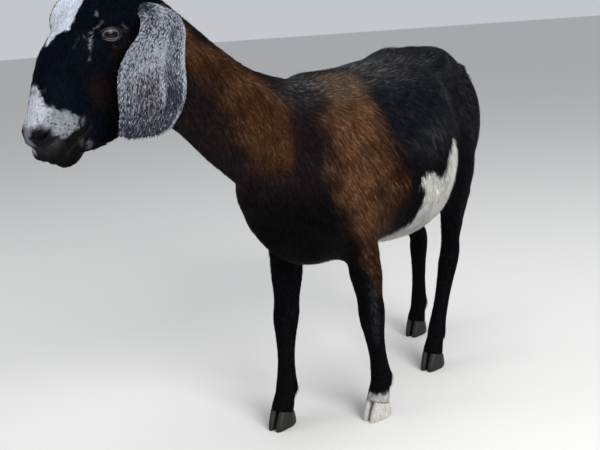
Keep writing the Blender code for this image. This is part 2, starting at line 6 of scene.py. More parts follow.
import bmesh
import bpy
import numpy as np
from mathutils import Matrix, Vector
from mathutils.bvhtree import BVHTree


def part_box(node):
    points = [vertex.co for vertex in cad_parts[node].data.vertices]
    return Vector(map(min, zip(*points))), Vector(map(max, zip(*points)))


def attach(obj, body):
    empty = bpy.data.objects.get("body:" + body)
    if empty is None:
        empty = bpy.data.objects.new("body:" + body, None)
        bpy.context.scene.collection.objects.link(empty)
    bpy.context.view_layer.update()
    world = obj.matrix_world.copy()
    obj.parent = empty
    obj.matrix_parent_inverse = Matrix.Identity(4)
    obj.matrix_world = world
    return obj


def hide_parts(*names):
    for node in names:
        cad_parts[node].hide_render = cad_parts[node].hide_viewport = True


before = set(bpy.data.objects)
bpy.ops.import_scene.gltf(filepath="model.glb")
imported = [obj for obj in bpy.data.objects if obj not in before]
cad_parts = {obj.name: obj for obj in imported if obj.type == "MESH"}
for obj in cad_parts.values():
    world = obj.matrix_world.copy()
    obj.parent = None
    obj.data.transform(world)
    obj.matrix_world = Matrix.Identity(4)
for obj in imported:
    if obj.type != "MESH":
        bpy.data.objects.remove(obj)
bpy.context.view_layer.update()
print("frame loaded")

skinGrid = {
    "trunk": 0.012, "trunkPasses": 12,     # coarse grid that melts the trunk's masses together
    "fine": 0.0034, "finePasses": 7,       # grid of the whole skin
}
headPose = {"poll": (0.0, -0.465, 0.878), "noseDown": 48.0, "behind": -0.42}
coatSeed = 20
bothSides = ((1, "left"), (-1, "right"))


# Small tools

def unit(vector):
    vector = np.array(vector, float)
    return vector / np.linalg.norm(vector)


def units(rows):
    return rows / np.maximum(np.linalg.norm(rows, axis=1), 1e-9)[:, None]


# 0 below low, 1 above high, smooth between
def fade(low, high, value):
    t = np.clip((value - low) / (high - low), 0.0, 1.0)
    return t * t * (3 - 2 * t)


def mix(a, b, share):
    return a + (b - a) * np.asarray(share)[..., None]


# 1 from b to c, falling off to a and to d
def band(a, b, c, d, value):
    return fade(a, b, value) * (1 - fade(c, d, value))


# 1 at nought, falling off both ways over about the given size
def bell(value, size):
    return np.exp(-((value / size) ** 2))


# Smooth uneven waves of about the given size, from -1 to 1
def ripple(points, size, seed):
    rng = np.random.default_rng(seed)
    total = np.zeros(len(points))
    for _ in range(9):
        axis = unit(rng.normal(size=3)) * 2 * math.pi / size * rng.uniform(0.6, 1.6)
        total += np.sin(points @ axis + rng.uniform(0, 2 * math.pi))
    return total / 3.4


def link(name, mesh):
    item = bpy.data.objects.new(name, mesh)
    bpy.context.scene.collection.objects.link(item)
    return item


def linkMesh(name, bm):
    mesh = bpy.data.meshes.new(name)
    bm.to_mesh(mesh)
    bm.free()
    return link(name, mesh)


def smoothShaded(item):
    item.data.polygons.foreach_set("use_smooth", np.ones(len(item.data.polygons), bool))
    return item


# Opens a mesh for work on its points, edges and faces
@contextmanager
def editing(item):
    bm = bmesh.new()
    bm.from_mesh(item.data)
    yield bm
    bm.to_mesh(item.data)
    bm.free()


# An object from an array of points and an array of faces with the same number of corners
def meshFrom(name, points, corners):
    mesh = bpy.data.meshes.new(name)
    mesh.vertices.add(len(points))
    mesh.vertices.foreach_set("co", np.ascontiguousarray(points, np.float32).ravel())
    mesh.loops.add(corners.size)
    mesh.loops.foreach_set("vertex_index", np.ascontiguousarray(corners, np.int32).ravel())
    mesh.polygons.add(len(corners))
    mesh.polygons.foreach_set("loop_start", np.arange(0, corners.size, corners.shape[1], dtype=np.int32))
    mesh.update(calc_edges=True)
    return smoothShaded(link(name, mesh))


# Numbers of every point, edge or face corner of a mesh, so many for each
def gathered(rows, name, each, kind=np.float32):
    values = np.empty(len(rows) * each, kind)
    rows.foreach_get(name, values)
    return values.reshape(-1, each)


def pointsOf(item):
    return gathered(item.data.vertices, "co", 3).astype(float)


def normalsOf(item):
    return gathered(item.data.vertices, "normal", 3).astype(float)


def edgesOf(item):
    return gathered(item.data.edges, "vertices", 2, np.int32)


def setColours(item, name, colours):
    layer = item.data.color_attributes.new(name, "FLOAT_COLOR", "POINT")
    rgba = np.ones((len(colours), 4), np.float32)
    rgba[:, :3] = colours
    layer.data.foreach_set("color", rgba.ravel())


def setNumber(item, name, values):
    layer = item.data.attributes.new(name, "FLOAT", "POINT")
    layer.data.foreach_set("value", np.ascontiguousarray(values, np.float32))


def movePoints(item, points):
    item.data.vertices.foreach_set("co", np.ascontiguousarray(points, np.float32).ravel())
    item.data.update()


# Values at the points of a mesh, each pulled toward the mean of its neighbours, some passes over
def evened(values, edges, passes, share=0.5):
    a, b = edges.T
    count = np.bincount(a, minlength=len(values)) + np.bincount(b, minlength=len(values))
    count = np.maximum(count, 1)
    values = values.copy()
    columns = values.reshape(len(values), -1)
    for _ in range(passes):
        for k in range(columns.shape[1]):
            column = columns[:, k]
            mean = np.bincount(a, column[b], len(column)) + np.bincount(b, column[a], len(column))
            columns[:, k] += share * (mean / count - column)
    return columns.reshape(values.shape)


# Rows of numbers on a smooth curve through the given ones, spaced by their first three
def smoothRun(rows, count):
    rows = np.array(rows, float)
    at = np.concatenate([[0.0], np.cumsum(np.linalg.norm(np.diff(rows[:, :3], axis=0), axis=1))])
    slopes = np.gradient(rows, at, axis=0)
    want = np.linspace(0.0, at[-1], count)
    cell = np.clip(np.searchsorted(at, want, side="right") - 1, 0, len(rows) - 2)
    span = (at[cell + 1] - at[cell])[:, None]
    t = (want - at[cell])[:, None] / span
    return (
        (2 * t**3 - 3 * t**2 + 1) * rows[cell]
        + (t**3 - 2 * t**2 + t) * span * slopes[cell]
        + (3 * t**2 - 2 * t**3) * rows[cell + 1]
        + (t**3 - t**2) * span * slopes[cell + 1]
    )


# A closed body through rings of points, with flat ends
def tube(name, rings):
    bm = bmesh.new()
    rings = [[bm.verts.new(p) for p in ring] for ring in rings]
    sides = len(rings[0])
    for a, b in zip(rings, rings[1:]):
        for i in range(sides):
            j = (i + 1) % sides
            bm.faces.new((a[i], a[j], b[j], b[i]))
    bm.faces.new(rings[0])
    bm.faces.new(rings[-1])
    bmesh.ops.recalc_face_normals(bm, faces=bm.faces)
    return linkMesh(name, bm)


# A body through rings. A station is x, y, z, half width, half depth on the back or upper side
# and on the other side, and the squareness of each half, where 2 is an ellipse.
def loft(name, stations, count, sides):
    rows = smoothRun(stations, count)
    tangents = np.gradient(rows[:, :3], axis=0)
    angles = np.linspace(0.0, 2 * math.pi, sides, endpoint=False)
    across, along = np.cos(angles), np.sin(angles)
    rings = []
    for row, tangent in zip(rows, tangents):
        tangent = unit(tangent)
        lateral = unit(np.array([1.0, 0.0, 0.0]) - tangent[0] * tangent)
        over = np.cross(lateral, tangent)
        power = np.where(along > 0, 2 / row[6], 2 / row[7])
        depth = np.where(along > 0, row[4], row[5])
        x = row[3] * np.sign(across) * np.abs(across) ** power
        y = depth * np.sign(along) * np.abs(along) ** power
        rings.append(row[:3] + np.outer(x, lateral) + np.outer(y, over))
    return tube(name, rings)


# Stations on the middle plane, round where they give no squareness
def onMiddle(stations):
    return [(0.0, *row, 2.0, 2.0)[:8] for row in stations]


# A ball of three radii, tilted about X by an angle in degrees
def ellipsoid(name, centre, radii, tilt=0.0, segments=24):
    bm = bmesh.new()
    bmesh.ops.create_uvsphere(bm, u_segments=segments, v_segments=segments // 2, radius=1.0)
    turned = Matrix.Rotation(math.radians(tilt), 4, "X")
    bm.transform(Matrix.Translation(centre) @ turned @ Matrix.Diagonal((*radii, 1.0)))
    return linkMesh(name, bm)


def mirrored(point, side):
    return (point[0] * side, point[1], point[2])


# Balls on the right side and then the same on the left
def pairs(masses):
    return [ellipsoid(name, mirrored(centre, side), *shape)
            for side in (-1, 1) for name, (centre, *shape) in masses.items()]


def headMatrix():
    return Matrix.Translation(headPose["poll"]) @ Matrix.Rotation(math.radians(headPose["noseDown"]), 4, "X")


# Points in the head's own frame: origin at the poll, nose toward -Y
def intoHead(points):
    turn = math.radians(headPose["noseDown"])
    y, z = points[:, 1] - headPose["poll"][1], points[:, 2] - headPose["poll"][2]
    rows = points[:, 0], y * math.cos(turn) + z * math.sin(turn), z * math.cos(turn) - y * math.sin(turn)
    return np.stack(rows, axis=1)


def placed(points, matrix):
    return points @ np.array(matrix)[:3, :3].T + np.array(matrix)[:3, 3]


# Features of the face, in the head's frame, on the left side

eye = {
    "centre": (0.0405, -0.0865, -0.0420), "radius": 0.0165, "axis": (0.93, -0.28, 0.18),
    "halfLength": 0.0150, "upper": 0.0082, "lower": 0.0074, "squareness": 1.7,      # opening of the lids
    "lidGap": 0.0010, "lidThickness": 0.0013, "pocket": 0.0045,
    "pupil": (0.0102, 0.0043), "iris": (0.0126, 0.0084), "back": 0.0012,
}
nostril = {
    "height": -0.0415, "aim": 42.0, "slit": (0.0, 0.90, -0.42), "bend": 22.0,
    "long": 0.0105, "wide": 0.0034, "deep": 0.0095,
}
mouth = {
    "front": -0.0835, "corner": -0.0930, "reach": 140.0, "axis": -0.2320,
    "groove": 0.0024, "lip": 0.0012,
}

# Masses under the skin

# y, height of the widest level, half width, height above, depth below, squareness above and below
trunk = {"stations": [
    (-0.187, 0.506, 0.012, 0.028, 0.028, 2.0, 2.0),
    (-0.177, 0.504, 0.040, 0.064, 0.036, 2.0, 2.0),
    (-0.149, 0.500, 0.072, 0.114, 0.056, 2.0, 2.0),
    (-0.100, 0.490, 0.096, 0.199, 0.111, 2.0, 2.1),
    (-0.040, 0.480, 0.111, 0.219, 0.145, 1.9, 2.1),
    (0.020, 0.480, 0.119, 0.219, 0.144, 1.8, 2.1),
    (0.090, 0.478, 0.130, 0.221, 0.136, 1.9, 2.1),
    (0.170, 0.476, 0.145, 0.228, 0.150, 2.0, 2.1),
    (0.250, 0.480, 0.150, 0.229, 0.161, 2.0, 2.1),
    (0.320, 0.490, 0.140, 0.233, 0.153, 2.1, 2.1),
    (0.380, 0.505, 0.120, 0.236, 0.138, 2.2, 2.0),
    (0.430, 0.530, 0.104, 0.210, 0.130, 2.3, 2.0),
    (0.490, 0.555, 0.090, 0.173, 0.110, 2.2, 2.0),
    (0.540, 0.570, 0.075, 0.142, 0.090, 2.1, 2.0),
    (0.572, 0.580, 0.052, 0.096, 0.065, 2.0, 2.0),
    (0.584, 0.585, 0.025, 0.044, 0.030, 2.0, 2.0),
]}
trunkMasses = {
    "shoulderBlade": ((0.070, -0.030, 0.545), (0.040, 0.066, 0.115), 22),
    "shoulderPoint": ((0.054, -0.094, 0.472), (0.034, 0.038, 0.050)),
    "upperArm": ((0.076, -0.050, 0.435), (0.036, 0.072, 0.055), -25),
    "hipBone": ((0.057, 0.385, 0.685), (0.030, 0.054, 0.030)),
    "thigh": ((0.058, 0.477, 0.535), (0.048, 0.086, 0.120), -10),
    "pinBone": ((0.035, 0.560, 0.624), (0.026, 0.027, 0.032)),
}
withers = ((0.0, -0.088, 0.6705), (0.052, 0.050, 0.0245))

# y, z, half width, crest side, throat side
neck = {"stations": [
    (-0.478, 0.805, 0.036, 0.040, 0.062),
    (-0.430, 0.785, 0.045, 0.078, 0.096),
    (-0.365, 0.748, 0.048, 0.080, 0.092),
    (-0.295, 0.704, 0.052, 0.076, 0.088),
    (-0.215, 0.655, 0.062, 0.077, 0.104),
    (-0.130, 0.605, 0.074, 0.102, 0.116),
    (-0.045, 0.555, 0.084, 0.114, 0.120),
    (0.030, 0.520, 0.066, 0.095, 0.100),
], "nape": (-0.385, 0.765), "napeAcross": (0.97, -0.25)}

# In the head's frame: y, height of the widest level, half width, height above, depth below, squareness
skull = {"stations": [
    (-0.259, -0.066, 0.006, 0.010, 0.010, 2.0, 2.0),
    (-0.254, -0.064, 0.017, 0.023, 0.024, 2.1, 2.2),
    (-0.243, -0.060, 0.025, 0.032, 0.038, 2.2, 2.3),
    (-0.228, -0.060, 0.029, 0.040, 0.055, 2.1, 2.3),
    (-0.203, -0.060, 0.031, 0.049, 0.082, 2.0, 2.5),
    (-0.175, -0.058, 0.035, 0.056, 0.105, 2.0, 2.7),
    (-0.145, -0.055, 0.041, 0.060, 0.119, 2.0, 2.8),
    (-0.115, -0.052, 0.047, 0.056, 0.122, 2.0, 2.7),
    (-0.085, -0.050, 0.050, 0.054, 0.117, 2.1, 2.5),
    (-0.050, -0.048, 0.050, 0.051, 0.108, 2.1, 2.2),
    (-0.015, -0.047, 0.045, 0.044, 0.078, 2.0, 2.0),
    (0.012, -0.047, 0.034, 0.032, 0.055, 2.0, 2.0),
    (0.028, -0.047, 0.018, 0.017, 0.028, 2.0, 2.0),
]}
headMasses = {
    "orbit": (eye["centre"], (0.0196, 0.0232, 0.0202)),
    "cheek": ((0.032, -0.095, -0.102), (0.020, 0.046, 0.048)),
    "nostrilWing": ((0.0155, -0.238, -0.044), (0.0120, 0.015, 0.0145)),
    "upperLip": ((0.012, -0.2455, -0.071), (0.0165, 0.0240, 0.0165)),
    "lowerLip": ((0.008, -0.2390, -0.0890), (0.0155, 0.0250, 0.0140)),
    "brow": ((0.033, -0.082, -0.013), (0.015, 0.020, 0.010)),
    "foreheadSide": ((0.0295, -0.066, -0.0065), (0.017, 0.034, 0.0115)),
    "temple": ((0.040, -0.062, -0.046), (0.016, 0.036, 0.026)),
    "earRoot": ((0.042, -0.036, -0.060), (0.021, 0.030, 0.027)),
}
lipMiddle = ((0.0, -0.2450, -0.069), (0.0130, 0.0240, 0.0190))
chin = ((0.0, -0.2290, -0.1000), (0.0205, 0.0330, 0.0185))

# From the body down: shoulder or hip, elbow or stifle, knee or hock, fetlock, toe
legs = {
    "fore_left": [(0.070, -0.105, 0.470), (0.082, 0.010, 0.400), (0.080, 0.047, 0.226),
                  (0.080, 0.068, 0.080), (0.077, 0.043, 0.0)],
    "fore_right": [(-0.070, -0.105, 0.470), (-0.080, -0.005, 0.400), (-0.074, -0.028, 0.224),
                   (-0.071, -0.050, 0.078), (-0.069, -0.085, 0.0)],
    "hind_left": [(0.066, 0.450, 0.575), (0.094, 0.372, 0.440), (0.063, 0.411, 0.245),
                  (0.059, 0.343, 0.082), (0.058, 0.308, 0.0)],
    "hind_right": [(-0.066, 0.470, 0.575), (-0.094, 0.405, 0.440), (-0.082, 0.526, 0.240),
                   (-0.080, 0.510, 0.080), (-0.079, 0.478, 0.0)],
}

# Bone, place along it, half width, half depth behind, half depth in front
girths = {"fore": [
    (0, 0.10, 0.030, 0.050, 0.040), (0, 0.55, 0.038, 0.060, 0.052), (1, 0.00, 0.038, 0.050, 0.054),
    (1, 0.25, 0.034, 0.045, 0.036), (1, 0.60, 0.029, 0.042, 0.026), (1, 0.85, 0.0250, 0.0320, 0.0225),
    (1, 1.00, 0.0265, 0.028, 0.0250), (2, 0.12, 0.0250, 0.025, 0.0270), (2, 0.30, 0.0208, 0.021, 0.0240),
    (2, 0.70, 0.0178, 0.019, 0.0175), (2, 0.92, 0.0205, 0.023, 0.019), (2, 1.00, 0.0215, 0.025, 0.020),
    (3, 0.35, 0.0205, 0.022, 0.019), (3, 0.65, 0.0220, 0.023, 0.021), (3, 1.00, 0.0230, 0.024, 0.024),
], "hind": [
    (0, 0.05, 0.038, 0.070, 0.070), (0, 0.55, 0.046, 0.080, 0.075), (1, 0.00, 0.042, 0.090, 0.045),
    (1, 0.25, 0.036, 0.080, 0.024), (1, 0.55, 0.026, 0.057, 0.016), (1, 0.80, 0.0195, 0.034, 0.017),
    (1, 1.00, 0.0215, 0.027, 0.022), (2, 0.12, 0.0220, 0.023, 0.022), (2, 0.32, 0.0190, 0.0205, 0.0195),
    (2, 0.70, 0.0170, 0.0185, 0.0168), (2, 0.92, 0.0190, 0.0215, 0.0180), (2, 1.00, 0.020, 0.024, 0.019),
    (3, 0.35, 0.019, 0.020, 0.018), (3, 0.65, 0.021, 0.022, 0.021), (3, 1.00, 0.0225, 0.024, 0.024),
]}
hockPoint = {"behind": {"hind_left": 0.0135, "hind_right": 0.0090}, "above": 0.020,
             "radii": (0.0120, 0.0138, 0.038), "tilt": 12.0}
foot = {"coronetPlace": 0.60, "coronetSlope": 18.0}

# y, z, half width, thickness above and below
tail = {"stations": [
    (0.532, 0.652, 0.028, 0.018, 0.022),
    (0.570, 0.660, 0.026, 0.013, 0.018),
    (0.596, 0.647, 0.023, 0.011, 0.018),
    (0.610, 0.618, 0.020, 0.009, 0.019),
    (0.613, 0.588, 0.015, 0.007, 0.015),
    (0.612, 0.570, 0.007, 0.005, 0.006),
], "root": (0.588, 0.654), "rootAcross": (0.90, -0.43)}
tailBase = ((0.0, 0.566, 0.612), (0.034, 0.031, 0.042))


def trunkPieces():
    pieces = [loft("trunk", onMiddle(trunk["stations"]), 60, 40)]
    pieces.append(loft("neck", onMiddle(neck["stations"]), 40, 32))
    return pieces + pairs(trunkMasses) + [ellipsoid("withers", *withers)]


def tailPieces():
    return [loft("tail", onMiddle(tail["stations"]), 30, 16), ellipsoid("tailBase", *tailBase)]


# The five joints of a leg from the body down, the last at the coronet
def legJoints(leg):
    joints = [Vector(place) for place in leg]
    return joints[:4] + [joints[3].lerp(joints[4], foot["coronetPlace"])]


# Every leg as one loft between the given places along its bones, and the points of the hocks
def legPieces(highest, lowest):
    pieces = []
    for name, leg in legs.items():
        joints = legJoints(leg)
        rows = []
        for bone, t, lateral, back, front in girths[name[:4]]:
            if highest <= bone + t <= lowest:
                rows.append((*joints[bone].lerp(joints[bone + 1], t), lateral, back, front, 2.0, 2.0))
        pieces.append(loft(name, rows, 5 * len(rows), 24))
        if name in hockPoint["behind"]:
            point = joints[2] + Vector((0.0, hockPoint["behind"][name], hockPoint["above"]))
            pieces.append(ellipsoid("hockPoint", point, hockPoint["radii"], hockPoint["tilt"]))
    return pieces


def headPieces():
    pieces = [loft("skull", onMiddle(skull["stations"]), 60, 40), *pairs(headMasses)]
    pieces += [ellipsoid("lipMiddle", *lipMiddle), ellipsoid("chin", *chin)]
    for piece in pieces:
        piece.data.transform(headMatrix())
    return pieces


# One closed skin round all the pieces, with the creases between them smoothed
def fused(name, pieces, voxel, passes):
    bm = bmesh.new()
    for piece in pieces:
        bm.from_mesh(piece.data)
        bpy.data.objects.remove(piece)
    item = linkMesh(name, bm)
    remesh = item.modifiers.new("fuse", "REMESH")
    remesh.mode = "VOXEL"
    remesh.voxel_size = voxel
    smooth = item.modifiers.new("soften", "SMOOTH")
    smooth.factor = 0.5
    smooth.iterations = passes
    graph = bpy.context.evaluated_depsgraph_get()
    mesh = bpy.data.meshes.new_from_object(item.evaluated_get(graph))
    item.modifiers.clear()
    item.data = mesh
    return item


# The place of an eye, with its own Z out of the head and its own X along the opening
def eyeFrame(side):
    outward = Vector(mirrored(eye["axis"], side)).normalized()
    level = headMatrix().to_3x3().inverted() @ Vector((0.0, 1.0, 0.0))
    along = (level - level.dot(outward) * outward).normalized()
    upward = outward.cross(along)
    if (headMatrix().to_3x3() @ upward).z < 0:
        along, upward = -along, -upward
    turned = Matrix((along, upward, outward)).transposed().to_4x4()
    x, y, z = mirrored(eye["centre"], side)
    return headMatrix() @ Matrix.Translation((x, y + eye["back"], z)) @ turned


# 1 on the edge of the opening between the lids, less inside it
def almond(u, v):
    tall = np.where(v > 0, eye["upper"], eye["lower"])
    power = eye["squareness"]
    return (np.abs(u / eye["halfLength"]) ** power + np.abs(v / tall) ** power) ** (1 / power)


# Distance from each point to a run of straight lengths
def nearestOnPath(points, path):
    best = np.full(len(points), 1e9)
    for a, b in zip(path, path[1:]):
        run = b - a
        t = np.clip((points - a) @ run / (run @ run), 0, 1)
        best = np.minimum(best, np.linalg.norm(points - a - t[:, None] * run, axis=1))
    return best


# Splits the faces whose corners are all chosen into four
def subdivided(item, chosen):
    with editing(item) as bm:
        bm.verts.ensure_lookup_table()
        edges = [e for e in bm.edges if chosen[e.verts[0].index] and chosen[e.verts[1].index]]
        bmesh.ops.subdivide_edges(bm, edges=edges, cuts=1, use_grid_fill=True)


def faceTree(item):
    return BVHTree.FromPolygons([v.co for v in item.data.vertices], [p.vertices for p in item.data.polygons])


# A frame at a place, with its Z out of the surface and its X as near a direction as it can be
def surfaceFrame(at, direction, outward):
    along = (direction - direction.dot(outward) * outward).normalized()
    return Matrix.Translation(at) @ Matrix((along, outward.cross(along), outward)).transposed().to_4x4()


def nostrilFrames(tree):
    frames = []
    place = headMatrix()
    for side in (-1, 1):
        aim = math.radians(nostril["aim"])
        toward = place.to_3x3() @ Vector((side * math.sin(aim), -math.cos(aim), 0.0))
        hit, normal = tree.ray_cast(place @ Vector((0.0, mouth["axis"], nostril["height"])), toward)[:2]
        frames.append(surfaceFrame(hit, place.to_3x3() @ Vector(nostril["slit"]), normal))
    return frames


# Where the lips meet, from one corner of the mouth round the front to the other
def mouthPath(tree):
    place = headMatrix()
    path = []
    for angle in np.linspace(-mouth["reach"], mouth["reach"], 61):
        turn = math.radians(angle)
        z = mouth["front"] + (mouth["corner"] - mouth["front"]) * (abs(angle) / mouth["reach"]) ** 2
        toward = place.to_3x3() @ Vector((math.sin(turn), -math.cos(turn), 0.0))
        path.append(np.array(tree.ray_cast(place @ Vector((0.0, mouth["axis"], z)), toward)[0]))
    return np.array(path)


# Which points belong to the head in front of a place, not to the legs below it
def aheadOf(points, limit):
    return (intoHead(points)[:, 1] < limit) & (points[:, 1] < headPose["behind"])


# Lids, nostrils, lips and the small folds of the face, pushed into a finer skin. Returns how
# bare each point is.
def shapeFace(item):
    subdivided(item, aheadOf(pointsOf(item), 0.005))
    points = pointsOf(item)
    points = np.where(aheadOf(points, -0.01)[:, None], evened(points, edgesOf(item), 3), points)
    movePoints(item, points)
    eyes = [placed(points, eyeFrame(side).inverted()) for side in (-1, 1)]
    near = np.minimum(*(np.linalg.norm(q, axis=1) for q in eyes)) < 0.028
    subdivided(item, near | (intoHead(points)[:, 1] < -0.190))
    points = pointsOf(item)
    tree = faceTree(item)
    path = mouthPath(tree)
    frames = nostrilFrames(tree)
    normals = normalsOf(item)
    hx, hy, hz = intoHead(points).T
    inFace = aheadOf(points, 0.0)

    # Lips
    away = nearestOnPath(points, path)
    over = hz - np.interp(hy, (-0.26, -0.20), (mouth["front"], mouth["corner"]))
    push = mouth["lip"] * bell(away - 0.0050, 0.0030) * np.where(over > 0, 1.0, 0.7)
    push -= mouth["groove"] * bell(away, 0.0013)
    bare = bell(away, 0.0022)

    # Groove under the nose
    front = fade(-0.246, -0.254, hy) * band(-0.082, -0.076, -0.040, -0.032, hz)
    push -= 0.0016 * front * bell(hx, 0.0012)
    push += 0.0004 * ripple(points, 0.012, 3) * inFace
    points = points + normals * (push * inFace)[:, None]

    # Nostrils
    for place in frames:
        local = placed(points, place.inverted())
        reach = np.linalg.norm(local, axis=1) < 0.030
        a, b = local[:, 0], local[:, 1] - nostril["bend"] * local[:, 0] ** 2 + 0.001
        ring = np.sqrt((a / nostril["long"]) ** 2 + (b / nostril["wide"]) ** 2)
        sink = nostril["deep"] * (1 - fade(0.45, 1.15, ring)) - 0.0012 * bell(ring - 1.7, 0.5)
        points -= np.array(place)[:3, 2] * (sink * reach)[:, None]
        bare = np.maximum(bare, reach * (1 - fade(1.2, 1.9, ring)))

    # Lids
    for side in (-1, 1):
        place = eyeFrame(side)
        local = placed(points, place.inverted())
        span = np.linalg.norm(local, axis=1)
        ring = almond(local[:, 0], local[:, 1])
        facing = (local[:, 2] > 0) & (span < 0.030)
        lid = eye["radius"] + eye["lidGap"] + 0.0016 * fade(1.0, 1.9, ring)
        crease = 0.0011 * bell(ring - 1.75, 0.16) * (local[:, 1] > 0)
        hold = 1 - fade(1.35, 2.6, ring)
        goal = np.where(ring < 0.97, eye["radius"] - eye["pocket"], lid) - crease * (1 - hold)
        wanted = span + (goal - span) * hold - crease * 0.8
        wanted = np.where(ring > 0.97, np.maximum(wanted, eye["radius"] + 0.0004), wanted)
        moved = local / np.maximum(span, 1e-9)[:, None] * wanted[:, None]
        points = np.where(facing[:, None], placed(moved, place), points)
        bare = np.maximum(bare, facing * (1 - fade(1.04, 1.16, ring)))
    movePoints(item, points)

    # Nose pad
    pad = fade(-0.2440, -0.2500, hy) * band(-0.066, -0.058, -0.034, -0.029, hz)
    pad *= 1 - fade(0.013, 0.019, np.abs(hx))
    return np.clip(np.maximum(bare, 0.30 * pad * inFace), 0, 1)


# Markings: every place has a main hair colour, a second one, and the share of hairs of the second

coat = {
    "black": (0.0042, 0.0047, 0.0068), "faceBlack": (0.0012, 0.0022, 0.0050),
    "grey": (0.13, 0.13, 0.14), "greyHair": (0.22, 0.22, 0.235), "olive": (0.050, 0.047, 0.040),
    "darkBrown": (0.016, 0.0095, 0.0085), "plum": (0.0120, 0.0080, 0.0095),
    "haunch": (0.0048, 0.0062, 0.0110), "rump": (0.0085, 0.0080, 0.0115),
    "rust": (0.070, 0.028, 0.0115), "rustLight": (0.24, 0.125, 0.065), "rustDeep": (0.030, 0.010, 0.005),
    "neckRust": (0.046, 0.0185, 0.0080), "neckLight": (0.125, 0.060, 0.028), "tan": (0.100, 0.068, 0.042),
    "white": (0.70, 0.69, 0.66), "blazeWhite": (0.55, 0.585, 0.67), "muzzleWhite": (0.56, 0.59, 0.66),
    "nose": (0.020, 0.019, 0.021), "earLight": (0.37, 0.395, 0.45), "earDark": (0.020, 0.023, 0.034),
    "earPink": (0.31, 0.25, 0.27), "earUnder": (0.10, 0.065, 0.058),
}
coat = {name: np.array(value) for name, value in coat.items()}

# Outlines of the patches in y and z, as the left side shows them
flankPatch = [
    (0.312, 0.533), (0.299, 0.522), (0.277, 0.505), (0.268, 0.492), (0.255, 0.474), (0.231, 0.463),
    (0.205, 0.474), (0.184, 0.482), (0.166, 0.472), (0.160, 0.462), (0.180, 0.446), (0.174, 0.420),
    (0.170, 0.384), (0.132, 0.366), (0.124, 0.353), (0.122, 0.318), (0.330, 0.318), (0.360, 0.345),
    (0.352, 0.362), (0.322, 0.386), (0.306, 0.420), (0.316, 0.452), (0.325, 0.480), (0.330, 0.502),
    (0.324, 0.518),
]
ribPatch = [
    (-0.010, 0.676), (-0.052, 0.645), (-0.078, 0.606), (-0.082, 0.568), (-0.079, 0.533), (-0.072, 0.500),
    (-0.066, 0.465), (-0.056, 0.430), (-0.036, 0.394), (-0.014, 0.360), (0.006, 0.325), (0.018, 0.285),
    (0.032, 0.265), (0.070, 0.265), (0.076, 0.330), (0.112, 0.361), (0.107, 0.393), (0.120, 0.436),
    (0.126, 0.485), (0.116, 0.539), (0.100, 0.594), (0.098, 0.640), (0.112, 0.670), (0.070, 0.694),
    (0.020, 0.694),
]
neckPatch = [
    (-0.440, 0.850), (-0.370, 0.818), (-0.310, 0.778), (-0.276, 0.756), (-0.240, 0.735), (-0.196, 0.708),
    (-0.172, 0.690), (-0.143, 0.660), (-0.130, 0.631), (-0.134, 0.600), (-0.140, 0.568), (-0.151, 0.540),
    (-0.183, 0.540), (-0.221, 0.572), (-0.258, 0.612), (-0.286, 0.655), (-0.309, 0.700), (-0.400, 0.760),
]
# Half width of the pale forehead along the head's y, on the left and on the right
blaze = [
    (-0.139, 0.0), (-0.1300, 0.0020), (-0.1190, 0.0052), (-0.1145, 0.0125), (-0.1085, 0.0176),
    (-0.0977, 0.0190), (-0.0860, 0.0198), (-0.0767, 0.0220), (-0.0600, 0.0212), (-0.030, 0.0225),
    (0.000, 0.0190), (0.022, 0.0100), (0.030, 0.0),
]
blazeFar = [
    (-0.141, 0.0), (-0.134, 0.0060), (-0.120, 0.0150), (-0.105, 0.0290), (-0.090, 0.0360),
    (-0.050, 0.0340), (0.000, 0.0230), (0.022, 0.0100), (0.030, 0.0),
]
# Outline of the pale muzzle in the head's y and z
muzzlePatch = [
    (-0.188, 0.030), (-0.192, -0.004), (-0.196, -0.009), (-0.2011, -0.0139), (-0.2105, -0.0200),
    (-0.2125, -0.0290), (-0.2090, -0.0408), (-0.2035, -0.0557), (-0.2012, -0.0680), (-0.2050, -0.0735),
    (-0.2106, -0.0752), (-0.2198, -0.0750), (-0.2313, -0.0688), (-0.2356, -0.0655), (-0.2375, -0.0563),
    (-0.2405, -0.0470), (-0.2390, -0.0395), (-0.2400, -0.0335), (-0.2430, -0.0285), (-0.2560, -0.0270),
    (-0.275, -0.020), (-0.280, 0.030),
]
# Pale wisps round the eye, as a run of places in the head's y and z, a half width and how strong
wisps = [
    ([(-0.0760, -0.0105), (-0.0785, -0.0125)], 0.0032, 0.45),
    ([(-0.0788, -0.0232), (-0.0880, -0.0222), (-0.0941, -0.0203)], 0.0018, 0.50),
    ([(-0.0997, -0.0216), (-0.1091, -0.0245), (-0.1189, -0.0282)], 0.0024, 0.72),
    ([(-0.1094, -0.0150), (-0.1122, -0.0220)], 0.0014, 0.26),
    ([(-0.1185, -0.0300), (-0.1300, -0.0352)], 0.0014, 0.25),
    ([(-0.1310, -0.0355), (-0.1330, -0.0362)], 0.0020, 0.36),
    ([(-0.0660, -0.0470), (-0.0640, -0.0560), (-0.0690, -0.0620)], 0.0016, 0.40),
    ([(-0.1130, -0.0120), (-0.1300, -0.0140)], 0.0016, 0.12),
    ([(-0.0990, -0.0480), (-0.0960, -0.0560)], 0.0016, 0.25),
    ([(-0.2165, -0.1060), (-0.2180, -0.1120)], 0.0065, 0.40),
    ([(-0.2225, -0.0900), (-0.2240, -0.0980)], 0.0055, 0.22),
    ([(-0.1985, -0.0760), (-0.2030, -0.0785)], 0.0050, 0.42),
]


